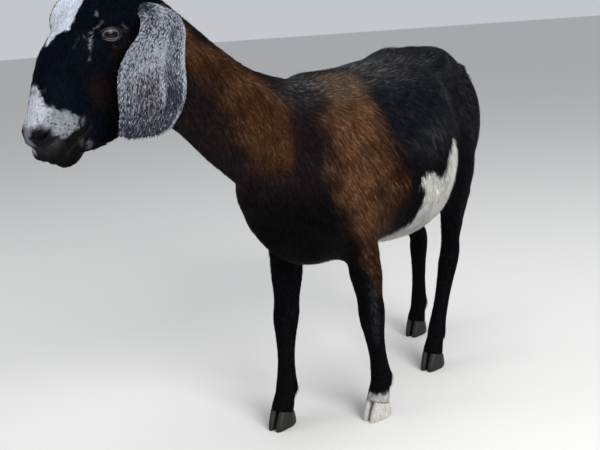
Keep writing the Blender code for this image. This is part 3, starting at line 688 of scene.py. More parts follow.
# How far each place is inside an outline, less than 0 outside
def insideBy(y, z, outline):
    places = np.stack([y, z], 1)
    outline = np.array(outline + outline[:1])
    away = nearestOnPath(places, outline)
    inside = np.zeros(len(places), bool)
    for a, b in zip(outline, outline[1:]):
        crosses = (a[1] > z) != (b[1] > z)
        run = b - a
        at = a[0] + (z - a[1]) * run[0] / (run[1] if abs(run[1]) > 1e-12 else 1e-12)
        inside ^= crosses & (y < at)
    return np.where(inside, away, -away)


# A soft round spot of 1 at a place of the side, given as y and z with its two sizes
def spot(y, z, centreY, centreZ, sizeY, sizeZ):
    return np.exp(-(((y - centreY) / sizeY) ** 2) - ((z - centreZ) / sizeZ) ** 2)


# Main colour, second colour and the second's share at places on the skin
def markings(points):
    x, y, z = points.T
    head = intoHead(points)
    hx, hy, hz = np.abs(head[:, 0]), head[:, 1], head[:, 2]
    right = x < 0
    apart = points + np.where(right, 0.4, 0.0)[:, None]      # so that the two sides differ
    wobble, small, fine = (ripple(apart, size, seed) for size, seed in ((0.060, 5), (0.016, 6), (0.006, 7)))
    main = coat["black"] * (1 + 0.25 * wobble)[:, None]
    second = np.tile(coat["darkBrown"], (len(points), 1))
    share = np.full(len(points), 0.14)
    inHead = 1 - fade(-0.405, -0.385, y + 0.26 * (0.765 - z))
    body = 1 - inHead

    # Streaks that follow the hair back and down, drawn out along it
    def streaks(back, down, drawn, size, seed):
        return ripple(np.stack([0.3 * x, back * y + down * z, drawn * (down * y - back * z)], 1), size, seed)

    streak = streaks(0.86, 0.50, 0.14, 0.0075, 8) + 0.6 * streaks(0.90, 0.42, 0.10, 0.0040, 9)

    def lay(tone, newMain, newSecond, newShare):
        nonlocal main, second, share
        main = mix(main, newMain, tone)
        second = mix(second, newSecond, tone)
        share = share + (newShare - share) * tone

    # Plum and dark brown over the shoulder, partly its own colour and partly painted shade, painted shade
    # near black on the brisket and the belly, and near black on the legs
    # Painted shade: the shoulder darkened to plum and dark brown
    front = body * (1 - fade(-0.02, 0.05, y)) * fade(0.36, 0.44, z)
    front *= 1 - fade(0.650, 0.700, z + 0.25 * (y + 0.1))
    lay(0.85 * front, coat["plum"], coat["darkBrown"] * 2.2, 0.25)
    # Painted shade: the brisket and the front of the belly darkened to near black
    low = body * (1 - fade(0.0, 0.06, y)) * band(0.30, 0.36, 0.46, 0.54, z)
    lay(0.9 * low, coat["black"] * 0.40, coat["darkBrown"] * 0.6, 0.20)
    lay(0.85 * body * (1 - fade(0.28, 0.36, z)), coat["black"] * 0.45, coat["darkBrown"] * 0.6, 0.14)

    # Neck
    edge = insideBy(y, z, neckPatch) + 0.006 * wobble + 0.0025 * streak
    # Along the throat the brown fades wide into black: the patch's own edge with painted shade under the neck
    throat = z < 0.590 - 1.35 * (y + 0.20)
    tone = body * np.where(throat, fade(-0.034, 0.024, edge) ** 1.8, fade(-0.014, 0.020, edge))
    level = np.clip(0.5 + 0.35 * wobble + 0.30 * streak, 0, 1)
    brown = mix(coat["neckRust"] * 0.62, coat["neckRust"] * 1.45, level)
    lay(tone, brown, coat["neckLight"] * (0.8 + 0.4 * level)[:, None], 0.16 + 0.22 * level)
    main = mix(main, coat["neckRust"] * 1.9, 0.55 * tone * spot(y, z, -0.175, 0.585, 0.075, 0.050))

    # Ribs and the back of the forearm
    shift = np.where(right, 0.018 - 0.060 * (1 - fade(0.26, 0.42, z)), 0.0)
    edge = insideBy(y + shift, z, ribPatch) + 0.008 * wobble + 0.0030 * streak
    firm = fade(0.43, 0.38, z)
    foreEdge = fade(-0.024 + 0.022 * firm, 0.032 - 0.014 * firm, edge)
    tone = np.where(y < 0.02, foreEdge, fade(-0.012, 0.018, edge)) * body * fade(0.006, 0.030, np.abs(x))
    tone *= np.where(z < 0.385, fade(0.045, 0.080, np.abs(x)), 1.0)
    bright = spot(y, z, -0.020, 0.520, 0.060, 0.120) + 0.8 * spot(y, z, 0.015, 0.400, 0.050, 0.055)
    bright += 0.5 * spot(y, z, 0.040, 0.600, 0.050, 0.060)
    level = np.clip(0.30 + 0.45 * bright + 0.16 * wobble + 0.30 * streak, 0, 1)
    brown = mix(coat["rust"] * 0.55, coat["rust"] * 1.55, level)
    deep = fade(0.070, 0.120, y + 0.004 * streak) * (1 - fade(0.52, 0.62, z)) + 0.75 * fade(0.385, 0.330, z)
    brown = mix(brown, coat["rustDeep"], 0.75 * np.clip(deep, 0, 1))
    brown *= (1 - 0.42 * fade(0.44, 0.36, z))[:, None]
    light = coat["rustLight"] * ((0.45 + 0.75 * level) * (1 - 0.55 * fade(0.46, 0.38, z)))[:, None]
    lay(tone, brown, light, np.clip(0.06 + 0.36 * level - 0.10 * deep, 0, 1))
    haze = tone * fade(0.615, 0.670, z + 0.004 * streak)
    lay(0.85 * haze, coat["tan"] * 1.15, coat["tan"] * 3.0, 0.26)

    # Grey hairs behind the withers and over the rump and thigh, grey hairs with painted grey sheen along the
    # top of the back, painted grey sheen over the hip and on the thigh, and a sprinkling of grey hairs
    lay(0.9 * body * fade(0.06, 0.12, y) * fade(0.50, 0.56, z), coat["haunch"], coat["grey"] * 0.35, 0.14)
    lay(0.9 * body * fade(0.36, 0.44, y) * fade(0.38, 0.48, z), coat["rump"], coat["grey"] * 0.5, 0.16)
    # Painted grey sheen along the top of the back and the withers, mixed with real grey hairs
    back = spot(y, z, 0.130, 0.690, 0.080, 0.030) + 0.9 * spot(y, z, -0.060, 0.674, 0.075, 0.022)
    back = np.clip(back + 0.5 * spot(y, z, 0.240, 0.690, 0.080, 0.030), 0, 1) * body * (1 - 0.6 * tone)
    lay(back * np.clip(0.75 + 0.30 * streak, 0, 1), coat["olive"] * 0.75, coat["grey"] * 1.9, 0.26)
    # Painted grey sheen over the hip and the thigh
    hip = spot(y, z, 0.345, 0.620, 0.030, 0.060) + 0.9 * spot(y, z, 0.250, 0.550, 0.060, 0.035)
    hip = np.clip(hip + 0.5 * spot(y, z, 0.185, 0.530, 0.040, 0.025), 0, 1) * body
    lay(hip * np.clip(0.55 + 0.45 * streak, 0, 1), coat["olive"] * 0.50, coat["grey"] * 1.2, 0.20)
    sparse = body * 0.12 * fade(0.9, 1.5, fine) * fade(0.50, 0.60, z) * (y > 0.0)
    second = mix(second, coat["grey"] * 1.6, sparse)

    # White patch of the flank and the belly, cut off where the thigh begins
    shift = np.where(right, 0.030 * np.sin(9 * z), 0.0)
    edge = insideBy(y + shift, z, flankPatch) + 0.0030 * streak + 0.0020 * small
    inner = fade(-0.01, 0.03, np.where(right, np.abs(x) - 0.03, x + 0.06))
    tone = body * fade(-0.003, 0.004, edge) * np.where(z < 0.372, inner, 1.0)
    legY = np.where(right, 0.405, 0.372)
    tone *= 1 - fade(0.002, 0.012, 0.034 - np.hypot(y - legY - 0.012, np.abs(x) - 0.094)) * (z < 0.335)
    lay(tone, coat["white"] * 1.18, coat["white"] * 0.85, np.clip(0.22 + 0.10 * streak, 0, 1))

    # Painted pale sheen down the left forearm and knee, and a ring of pale hair over the left fore hoof
    shin = np.interp(z, (0.16, 0.21, 0.26, 0.32), (0.040, 0.033, 0.028, 0.012))
    tone = body * (x > 0) * bell(y - shin, 0.007) * band(0.15, 0.18, 0.29, 0.33, z) * fade(0.085, 0.095, x)
    second = mix(second, coat["grey"] * 0.6, tone)
    share = share + 0.03 * tone
    tone = (1 - fade(0.046, 0.058, z + 0.004 * small)) * (x > 0) * (y < 0.15)
    lay(tone, coat["white"] * 0.75, coat["grey"] * 1.6, 0.30)

    # Face: bluish black, brown cheek and the pale forehead
    def onFace(*place):
        return inHead * spot(hy, hz, *place)

    lay(inHead, coat["faceBlack"] * (1 + 0.2 * wobble)[:, None], coat["faceBlack"] * 2.0, 0.12)
    lay(0.70 * onFace(-0.150, -0.085, 0.022, 0.028), coat["darkBrown"] * 0.55, coat["rust"] * 0.6, 0.16)
    lay(0.60 * onFace(-0.090, -0.064, 0.020, 0.012), coat["darkBrown"] * 0.6, coat["rust"] * 0.6, 0.14)
    near, far = (np.interp(hy, *np.array(rows).T, left=-1.0, right=-1.0) for rows in (blaze, blazeFar))
    inside = np.where(right, far, near) - hx + 0.0009 * small + 0.0006 * fine
    lay(inHead * fade(-0.0016, 0.0016, inside) * (hz > -0.035), coat["blazeWhite"], coat["grey"], 0.05)

    # Muzzle: white above, mottled on the side, fading into dark round the nostrils and below
    edge = insideBy(hy, hz, muzzlePatch) + 0.0020 * small + 0.0010 * fine
    mottle = fade(0.50, 1.00, ripple(apart, 0.0062, 11)) * fade(0.004, 0.016, hx) * fade(-0.010, -0.024, hz)
    spots = np.clip(0.14 + 0.27 * fade(-0.028, -0.046, hz) + 0.60 * mottle, 0, 1)
    pale = coat["muzzleWhite"] * (1 - 0.45 * fade(0.010, 0.024, hx))[:, None]
    nearNostril = fade(-0.228, -0.236, hy) * fade(-0.058, -0.050, hz)
    soft = fade(-0.0035 - 0.0055 * nearNostril, 0.0030 + 0.0030 * nearNostril, edge)
    lay(inHead * soft, pale, coat["grey"] * 0.38, spots)
    lower = inHead * (1 - soft) * fade(-0.200, -0.212, hy) * (1 - fade(-0.034, -0.024, hz))
    lay(lower, coat["nose"] * 0.10, coat["grey"] * 0.25, 0.08)
    lipFront, chinSide = onFace(-0.262, -0.056, 0.012, 0.010), onFace(-0.2450, -0.0620, 0.009, 0.007)
    lay(0.75 * lipFront * (1 - soft), coat["plum"] * 1.3, coat["grey"] * 0.8, 0.22)
    lay(0.60 * chinSide * (1 - soft), coat["nose"] * 0.3, coat["grey"] * 1.5, 0.24)
    middle = inHead * fade(-0.243, -0.250, hy) * (1 - fade(0.004, 0.010, hx)) * fade(-0.052, -0.040, hz)
    lay(middle * (hz < -0.020), coat["muzzleWhite"] * 0.42, coat["grey"] * 0.7, 0.30)
    pad = onFace(-0.2500, -0.0435, 0.0100, 0.0100) * fade(0.003, 0.010, hx)
    lay(np.clip(1.5 * pad, 0, 1), coat["nose"] * 0.25, coat["grey"] * 0.4, 0.08)
    rim = inHead * (x < 0) * fade(0.004, 0.008, hx) * fade(-0.248, -0.256, hy)
    lay(0.85 * rim * band(-0.066, -0.058, -0.046, -0.040, hz), coat["muzzleWhite"] * 0.85, coat["grey"], 0.20)
    for path, half, strength in wisps:
        away = nearestOnPath(np.stack([hy, hz], 1), [np.array(place) for place in path]) + 0.0006 * fine
        tone = inHead * strength * (1 - fade(half * 0.1, half * 1.25, away)) * (hx > 0.012)
        main = mix(main, coat["greyHair"] * 0.30, np.clip(0.8 * tone, 0, 1))
        second = mix(second, coat["greyHair"], np.clip(tone * 2, 0, 1))
        share = np.maximum(share, 0.8 * tone)
    return main, second, share


# How the coat lies, how long it is and how thick

# How far places are past a line in y and z
def pastLine(y, z, at, across):
    return (y - at[0]) * across[0] + (z - at[1]) * across[1]


# Shares of each point in the head, the neck, the tail and the legs. The rest is the trunk
def bodyParts(points):
    x, y, z = points.T
    inHead = 1 - fade(-0.02, 0.01, pastLine(y, z, neck["nape"], neck["napeAcross"]))
    inNeck = (1 - inHead) * (1 - fade(-0.17, -0.11, y + 0.5 * (0.6 - z)))
    inTail = fade(-0.012, 0.004, pastLine(y, z, tail["root"], tail["rootAcross"])) * (z > 0.54) * (y > 0.585)
    inLeg = 1 - fade(0.29, 0.335, z)
    return inHead, inNeck, inTail, inLeg


# The way the hair points, before it is laid on the skin
def lieOfCoat(points):
    x, y, z = points.T
    inHead, inNeck, inTail, inLeg = bodyParts(points)
    back, down = (np.array(headMatrix().to_3x3() @ Vector(way)) for way in ((0, 1, 0), (0, 0, -1)))
    lie = np.tile((0.0, 0.50, -0.86), (len(points), 1))

    def turnTo(way, share):
        nonlocal lie
        lie = mix(lie, np.array(way), share)

    turnTo((0.0, 1.0, -0.12), fade(0.60, 0.68, z))
    turnTo((0.0, -0.30, -0.95), band(0.10, 0.20, 0.33, 0.38, y) * (1 - fade(0.45, 0.56, z)))
    turnTo((0.0, 0.30, -0.95), fade(0.36, 0.42, y) * (1 - fade(0.60, 0.66, z)))
    turnTo((0.0, 0.35, -0.94), inNeck)
    crest = z - np.interp(y, *np.array(neck["stations"])[:, :2].T)
    turnTo((0.0, 0.86, -0.50), inNeck * fade(0.03, 0.05, crest))
    cheek = fade(-0.02, -0.07, intoHead(points)[:, 2])
    turnTo(back + down * (0.15 + 0.5 * cheek)[:, None], inHead)
    for leg in legs.values():
        joints = [np.array(joint) for joint in legJoints(leg)]
        for a, b in zip(joints[1:], joints[2:]):
            near = 1 - fade(0.045, 0.065, nearestOnPath(points, (a, b)))
            turnTo(unit(b - a), near * inLeg)
    hang = fade(0.66, 0.62, z - 0.5 * (y - 0.60))[:, None]
    turnTo(np.array((0.0, 0.95, -0.35)) * (1 - hang) + np.array((0.0, -0.04, -1.0)) * hang, inTail)
    return lie


def coatLength(points):
    x, y, z = points.T
    inHead, inNeck, inTail, inLeg = bodyParts(points)
    head = intoHead(points)
    length = 0.0155 + 0.004 * fade(0.64, 0.68, z)
    length += 0.006 * band(0.11, 0.16, 0.34, 0.38, y) * (1 - fade(0.34, 0.48, z))
    length += 0.005 * fade(0.50, 0.56, y) * (1 - inTail)
    length += (0.0135 - length) * inNeck * 0.8
    length += (0.0065 + 0.003 * fade(0.16, 0.30, z) - length) * inLeg
    for leg in legs.values():
        joint = np.array(legJoints(leg)[3])
        near = 1 - fade(0.024, 0.038, np.linalg.norm(points - joint - (0.0, 0.014, -0.012), axis=1))
        length += 0.0125 * near * fade(joint[1] - 0.002, joint[1] + 0.014, y)
    faceLength = 0.0042 + 0.0035 * fade(-0.10, 0.0, head[:, 1]) + 0.003 * fade(-0.08, -0.13, head[:, 2])
    faceLength -= 0.0016 * fade(-0.19, -0.22, head[:, 1])
    length += (faceLength - length) * inHead
    length += (0.022 + 0.020 * fade(0.645, 0.610, z) - length) * inTail
    return length


# How deep the skin lies under the tips of the coat
def skinDepth(points, length):
    inTail, inLeg = bodyParts(points)[2:]
    return 0.0006 + 0.20 * length * (1 - inTail) * (1 - 0.9 * inLeg)


# The skin

# A map of the skin's own shape. Returns each face corner's place on it
def unwrapped(item):
    bpy.context.view_layer.objects.active = item
    item.select_set(True)
    bpy.ops.object.mode_set(mode="EDIT")
    bpy.ops.mesh.select_all(action="SELECT")
    bpy.ops.uv.smart_project(angle_limit=math.radians(66), island_margin=0.002)
    bpy.ops.object.mode_set(mode="OBJECT")
    item.select_set(False)
    item.data.uv_layers[0].name = "OFBake"
    return gathered(item.data.uv_layers[0].data, "uv", 2).reshape(-1, 3, 2)


def triangulated(item):
    with editing(item) as bm:
        bmesh.ops.triangulate(bm, faces=bm.faces)


# What the tufts need to know of the skin that they grow from
def surfaceOf(points, normals, triangles, places):
    a, b, c = (points[triangles[:, corner]] for corner in range(3))
    area = np.linalg.norm(np.cross(b - a, c - a), axis=1) / 2
    return {"points": points, "normals": normals, "triangles": triangles, "area": area, "map": places}


# Tapered tufts rooted over the chosen triangles of a skin. Each is a closed spike that leans
# along the lie of the coat, of one length or bent once.
def tufts(name, skin, chosen, look, seed):
    rng = np.random.default_rng(seed)
    weight = skin["area"] * chosen
    count = int(weight.sum() * look["perArea"])
    picked = np.searchsorted(np.cumsum(weight), rng.uniform(0, weight.sum(), count))
    picked = np.minimum(picked, len(weight) - 1)
    corner = rng.dirichlet((1, 1, 1), count)
    triangle = skin["triangles"][picked]

    def at(values):
        return np.einsum("ij...,ij->i...", values[triangle], corner)

    root, normal = at(skin["points"]), units(at(skin["normals"]))
    keep = rng.uniform(size=count) > at(skin["bare"])
    lie = at(skin["lie"]) + rng.normal(size=(count, 3)) * look["stray"]
    lie = lie - (lie * normal).sum(axis=1)[:, None] * normal
    keep &= np.linalg.norm(lie, axis=1) > look.get("flattest", 0.0)
    lie = units(lie)
    length = at(skin["length"]) * rng.uniform(0.72, 1.25, count)
    width = look["width"] * rng.uniform(0.7, 1.3, count)
    rise = length * look["rise"] * rng.uniform(0.5, 1.5, count)
    if "paint" in skin:
        main, second, share = skin["paint"](root + lie * 0.003 + rng.normal(size=(count, 3)) * 0.0012)
    else:
        main, second, share = at(skin["main"]), at(skin["second"]), at(skin["share"])
    pick = rng.uniform(size=count)
    if "clump" in look:
        pick = pick * 0.30 + (0.5 + 0.5 * np.tanh(1.6 * ripple(root, look["clump"], seed))) * 0.70
    tone = np.where((pick < share)[:, None], second, main) * rng.uniform(0.72, 1.30, count)[:, None]
    place = np.einsum("ijk,ij->ik", skin["map"][picked], corner)

    root = root - normal * look["sink"]
    half, thick = np.cross(lie, normal) * width[:, None] / 2, normal * width[:, None] * 0.38
    rings = [np.stack([root - half, root + half, root + thick], axis=1)]
    bends = ((0.45, 0.70, 0.85),) if look.get("bent") else ()      # place along, share of the rise, size
    for t, up, size in bends:
        middle = root + lie * (length * t)[:, None] + normal * (rise * up + look["sink"])[:, None]
        rings.append(np.stack([middle - half * size, middle + half * size, middle + thick * size], axis=1))
    tip = root + lie * length[:, None] + normal * (rise + look["sink"])[:, None]
    points = np.concatenate(rings + [tip[:, None]], axis=1)[keep]
    each, last = points.shape[1], 3 * len(bends)
    faces, sides = [(0, 2, 1)], ((0, 1), (1, 2), (2, 0))
    for low in range(0, last, 3):
        for i, j in sides:
            faces += [(low + i, low + j, low + 3 + j), (low + i, low + 3 + j, low + 3 + i)]
    faces += [(last + i, last + j, each - 1) for i, j in sides]
    corners = (np.arange(len(points))[:, None, None] * each + np.array(faces)[None]).reshape(-1, 3)
    item = meshFrom(name, points.reshape(-1, 3), corners)

    shade = np.linspace(0.62, 1.18, len(bends) + 2)      # from the root to the tip
    shade = np.concatenate([np.repeat(shade[:-1], 3), shade[-1:]])
    setColours(item, "coat", (tone[keep][:, None] * shade[None, :, None]).reshape(-1, 3))
    patch = np.array([(-1, -1), (1, -1), (0, -0.4)] * (len(bends) + 1) + [(0, 1)]) * 0.0015
    spread = (place[keep][:, None] + patch[None]).reshape(-1, 2)
    layer = item.data.uv_layers.new(name="OFBake")
    layer.data.foreach_set("uv", np.ascontiguousarray(spread[corners.ravel()], np.float32).ravel())
    print(name, len(points), "tufts", len(corners), "triangles")
    return item


# Materials

def material(name, roughness, specular=0.5):
    made = bpy.data.materials.new(name)
    made.use_nodes = True
    shader = made.node_tree.nodes["Principled BSDF"]
    shader.inputs["Roughness"].default_value = roughness
    shader.inputs["Specular IOR Level"].default_value = specular
    return made, made.node_tree, shader


# A node with its values set, and with its first inputs linked to the given outputs
def node(tree, kind, *sources, **settings):
    made = tree.nodes.new(kind)
    for name, value in settings.items():
        if name in made.inputs:
            made.inputs[name].default_value = value
        else:
            setattr(made, name, value)
    for socket, source in zip(made.inputs, sources):
        tree.links.new(source, socket)
    return made


# Noise in the piece's own space, drawn out along an axis where stretch says so
def noise(tree, scale, detail=3.0, stretch=None):
    place = node(tree, "ShaderNodeTexCoord").outputs["Object"]
    if stretch:
        place = node(tree, "ShaderNodeMapping", place, Scale=stretch).outputs["Vector"]
    return node(tree, "ShaderNodeTexNoise", place, Scale=scale, Detail=detail).outputs["Fac"]


# A number from low to high as the source runs over its middle range
def span(tree, source, low, high, fromLow=0.3, fromHigh=0.7):
    limits = {"From Min": fromLow, "From Max": fromHigh, "To Min": low, "To Max": high}
    return node(tree, "ShaderNodeMapRange", source, **limits).outputs["Result"]


# A colour made lighter or darker by a number
def scaled(tree, colour, factor):
    made = node(tree, "ShaderNodeVectorMath", colour, operation="SCALE")
    tree.links.new(factor, made.inputs["Scale"])
    return made.outputs["Vector"]


def ramped(tree, source, stops):
    made = node(tree, "ShaderNodeValToRGB", source)
    elements = made.color_ramp.elements
    for place, tone in stops[1:-1]:
        elements.new(place).color = (*tone, 1)
    for element, (place, tone) in ((elements[0], stops[0]), (elements[-1], stops[-1])):
        element.position = place
        element.color = (*tone, 1)
    return made.outputs["Color"]


def bump(tree, shader, height, strength, distance):
    made = node(tree, "ShaderNodeBump", Strength=strength, Distance=distance)
    tree.links.new(height, made.inputs["Height"])
    tree.links.new(made.outputs["Normal"], shader.inputs["Normal"])


# The painted colour of the coat, made uneven by noise
def coatColour(tree, shader, unevenness, low, high):
    colour = node(tree, "ShaderNodeVertexColor", layer_name="coat").outputs["Color"]
    tree.links.new(scaled(tree, colour, span(tree, unevenness, low, high)), shader.inputs["Base Color"])


def coatMaterial(name, roughness, fineness, gloss=0.045):
    made, tree, shader = material(name, roughness, gloss)
    shader.inputs["Specular Tint"].default_value = (0.62, 0.82, 1.0, 1)
    coatColour(tree, shader, noise(tree, 26.0, 4.0), 0.78, 1.22)
    bump(tree, shader, noise(tree, fineness, 2.0), 0.35, 0.0006)
    return made


def skinMaterial():
    made, tree, shader = material("skinUnderCoat", 0.62, 0.015)
    coatColour(tree, shader, noise(tree, 60.0, 5.0, (5.0, 1.6, 0.8)), 0.62, 1.2)
    bare = node(tree, "ShaderNodeAttribute", attribute_name="bare").outputs["Fac"]
    tree.links.new(span(tree, bare, 0.62, 0.36, 0.0, 1.0), shader.inputs["Roughness"])
    bump(tree, shader, noise(tree, 900.0), 0.5, 0.0007)
    return made


# Iris with a level slot, seen through a wet clear surface, by the eye's own coordinates
def eyeMaterial():
    made, tree, shader = material("eyeWet", 0.07, 0.12)
    parts = node(tree, "ShaderNodeSeparateXYZ", node(tree, "ShaderNodeTexCoord").outputs["Object"]).outputs

    def reckon(kind, a, b=0.0):
        made = node(tree, "ShaderNodeMath", a, operation=kind)
        if isinstance(b, float):
            made.inputs[1].default_value = b
        else:
            tree.links.new(b, made.inputs[1])
        return made.outputs[0]

    # 1 on the edge of an oval of the given half sizes, rounder or squarer by its power
    def oval(halfLong, halfTall, power):
        terms = [reckon("POWER", reckon("DIVIDE", reckon("ABSOLUTE", parts[axis]), half), power)
                 for axis, half in (("X", halfLong), ("Y", halfTall))]
        return reckon("ADD", *terms)

    iris = ramped(tree, oval(*eye["iris"], 2.0), [
        (0.0, (0.085, 0.075, 0.066)), (0.35, (0.070, 0.064, 0.061)), (0.74, (0.088, 0.082, 0.082)),
        (0.92, (0.03, 0.027, 0.027)), (1.0, (0.010, 0.009, 0.009)),
    ])
    iris = scaled(tree, iris, span(tree, noise(tree, 700.0, 4.0, (1.0, 0.35, 1.0)), 0.6, 1.35))
    dark = node(tree, "ShaderNodeMix", data_type="RGBA")
    dark.inputs["B"].default_value = (0.003, 0.003, 0.004, 1)
    tree.links.new(span(tree, oval(*eye["pupil"], 2.6), 1.0, 0.0, 0.75, 1.30), dark.inputs["Factor"])
    tree.links.new(iris, dark.inputs["A"])
    tree.links.new(dark.outputs["Result"], shader.inputs["Base Color"])
    return made


# Hoof horn in fine upright streaks
def hornMaterial(name, low, high):
    made, tree, shader = material(name, 0.50, 0.25)
    streaks = ramped(tree, noise(tree, 130.0, 4.0, (6.0, 6.0, 0.5)), [(0.32, low), (0.68, high)])
    tree.links.new(streaks, shader.inputs["Base Color"])
    bump(tree, shader, noise(tree, 420.0, 3.0, (1.0, 1.0, 3.0)), 0.4, 0.0008)
    return made


# Colour made uneven by fine noise, with its relief
def mottledMaterial(name, colour, roughness, fineness):
    made, tree, shader = material(name, roughness)
    patchy = noise(tree, fineness)
    dark, light = (tuple(share * part for part in colour) for share in (0.7, 1.3))
    tree.links.new(ramped(tree, patchy, [(0.3, dark), (0.7, light)]), shader.inputs["Base Color"])
    bump(tree, shader, patchy, 0.2, 0.0004)
    return made


# Where the drawing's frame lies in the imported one

eyeLow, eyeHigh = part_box("eye_left")
rowShift = (eyeLow + eyeHigh) / 2 - headMatrix() @ Vector(eye["centre"])
print("moved by", tuple(round(v, 5) for v in rowShift))


# Puts a finished piece in the imported frame, with its material, and hides the solids it stands for. Its slot
# is not used.
def settle(item, finish, slot, *nodes):
    item.data.materials.clear()
    item.data.materials.append(finish)
    item.location = rowShift + item.location
    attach(item, "root")
    if nodes:
        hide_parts(*nodes)


# Skin

coarse = fused("trunkMass", trunkPieces() + legPieces(0.0, 1.6), skinGrid["trunk"], skinGrid["trunkPasses"])
masses = [coarse, *tailPieces(), *legPieces(1.2, 5.0), *headPieces()]
skinItem = fused("skin", masses, skinGrid["fine"], skinGrid["finePasses"])
points = pointsOf(skinItem)
depth = evened(skinDepth(points, coatLength(points)), edgesOf(skinItem), 12)
movePoints(skinItem, points - normalsOf(skinItem) * depth[:, None])
bare = shapeFace(skinItem)
setNumber(skinItem, "bare", bare)
triangulated(skinItem)
smoothShaded(skinItem)
print("skin", len(skinItem.data.polygons), "triangles")
skinMap = unwrapped(skinItem)
print("skin unwrapped")
triangles = gathered(skinItem.data.loops, "vertex_index", 1, np.int32).reshape(-1, 3)
skin = surfaceOf(pointsOf(skinItem), normalsOf(skinItem), triangles, skinMap)
skin["bare"] = bare
skin["lie"] = units(evened(units(lieOfCoat(skin["points"])), edgesOf(skinItem), 25))
skin["length"] = coatLength(skin["points"])
skin["paint"] = markings
main, second, share = markings(skin["points"])
# The skin under the coat takes the coat's colour darkened by a painted shade under the hair
shadeUnderHair = mix(main, second, share) * 0.8
setColours(skinItem, "coat", mix(shadeUnderHair, coat["nose"] * 0.4, fade(0.3, 0.9, bare)))
fleshNodes = ["torso", "neck", "head", "tail"]
for name in legs:
    upper = ("forearm" if name.startswith("fore") else "gaskin") + name[4:]
    fleshNodes += [upper, "cannon_" + name, "pastern_" + name]
settle(skinItem, skinMaterial(), "coat_black", *fleshNodes)
print("skin shaped")

# Coat

middle = skin["points"][triangles].mean(axis=1)
isHead, isNeck, isTail, isLeg = (part > 0.5 for part in bodyParts(middle))
isNeck &= ~isHead
isTail &= ~isHead
isLeg &= ~isHead & ~isNeck
isTrunk = ~isHead & ~isNeck & ~isTail & ~isLeg
isLeg &= middle[:, 2] > 0.030          # above the hooves
looks = {
    "face": {"perArea": 360000, "width": 0.0007, "rise": 0.16, "stray": 0.12, "sink": 0.0003,
             "clump": 0.0042},
    "body": {"perArea": 260000, "width": 0.00115, "rise": 0.13, "stray": 0.13, "sink": 0.0005},
    "leg": {"perArea": 240000, "width": 0.0009, "rise": 0.12, "stray": 0.12, "sink": 0.0004},
    "tail": {"perArea": 260000, "width": 0.0016, "rise": 0.09, "stray": 0.10, "sink": 0.0006,
             "bent": True, "flattest": 0.45},
    "ear": {"perArea": 420000, "width": 0.0011, "rise": 0.15, "stray": 0.22, "sink": 0.0003,
            "clump": 0.0050},
}
bodyCoat = coatMaterial("coatBody", 0.42, 600.0, 0.040)
faceCoat = coatMaterial("coatFace", 0.55, 900.0, 0.008)
isLeft = middle[:, 0] > 0
halves = (("left", isLeft), ("right", ~isLeft))
flank = (0.16, 0.37)                   # where the flank begins and ends along the trunk
lengthways = np.searchsorted(flank, middle[:, 1], side="right")
pieces = [("face_" + word, "face", isHead & half) for word, half in halves]
pieces.append(("neck", "body", isNeck))
for word, half in halves:
    for number, part in enumerate(("front", "flank", "rear")):
        pieces.append((f"{word}_{part}", "body", isTrunk & half & (lengthways == number)))
isFore = middle[:, 1] < 0.18
pieces += [("legs_fore", "leg", isLeg & isFore), ("legs_hind", "leg", isLeg & ~isFore)]
pieces.append(("tail", "tail", isTail))
for number, (name, kind, chosen) in enumerate(pieces):
    item = tufts("coat_" + name, skin, chosen, looks[kind], coatSeed + number)
    settle(item, faceCoat if kind == "face" else bodyCoat, "coat_black")

# Ears

ears = {"stations": [
    (0.042, -0.440, 0.804, 0.020, 0.005, 0.0070),
    (0.056, -0.436, 0.812, 0.023, 0.007, 0.0055),
    (0.071, -0.425, 0.807, 0.028, 0.009, 0.0035),
    (0.081, -0.429, 0.788, 0.0335, 0.010, 0.0024),
    (0.088, -0.4505, 0.762, 0.0425, 0.010, 0.0020),
    (0.0905, -0.464, 0.740, 0.0478, 0.010, 0.0019),
    (0.093, -0.471, 0.705, 0.0490, 0.010, 0.0019),
    (0.094, -0.478, 0.680, 0.0455, 0.008, 0.0019),
    (0.093, -0.486, 0.665, 0.0410, 0.006, 0.0018),
    (0.092, -0.491, 0.655, 0.0340, 0.003, 0.0016),
    (0.092, -0.493, 0.650, 0.0220, 0.001, 0.0012),
], "turn": 20.0, "rows": 90, "across": 34, "coat": 0.0010}


# 1 over the middle of an ear's length, where its ridge and valley stand
def reachOf(t):
    return band(0.22, 0.42, 0.80, 0.93, t)


# Faces between rings of points that follow each other, also from the last to the first if closed
def ringQuads(count, each, closed=False):
    a = np.arange(count * each).reshape(count, each)
    b = np.roll(a, -1, axis=1)
    quads = np.stack([a, b, b + each, a + each], axis=-1) % a.size
    return (quads if closed else quads[:-1]).reshape(-1, 4)


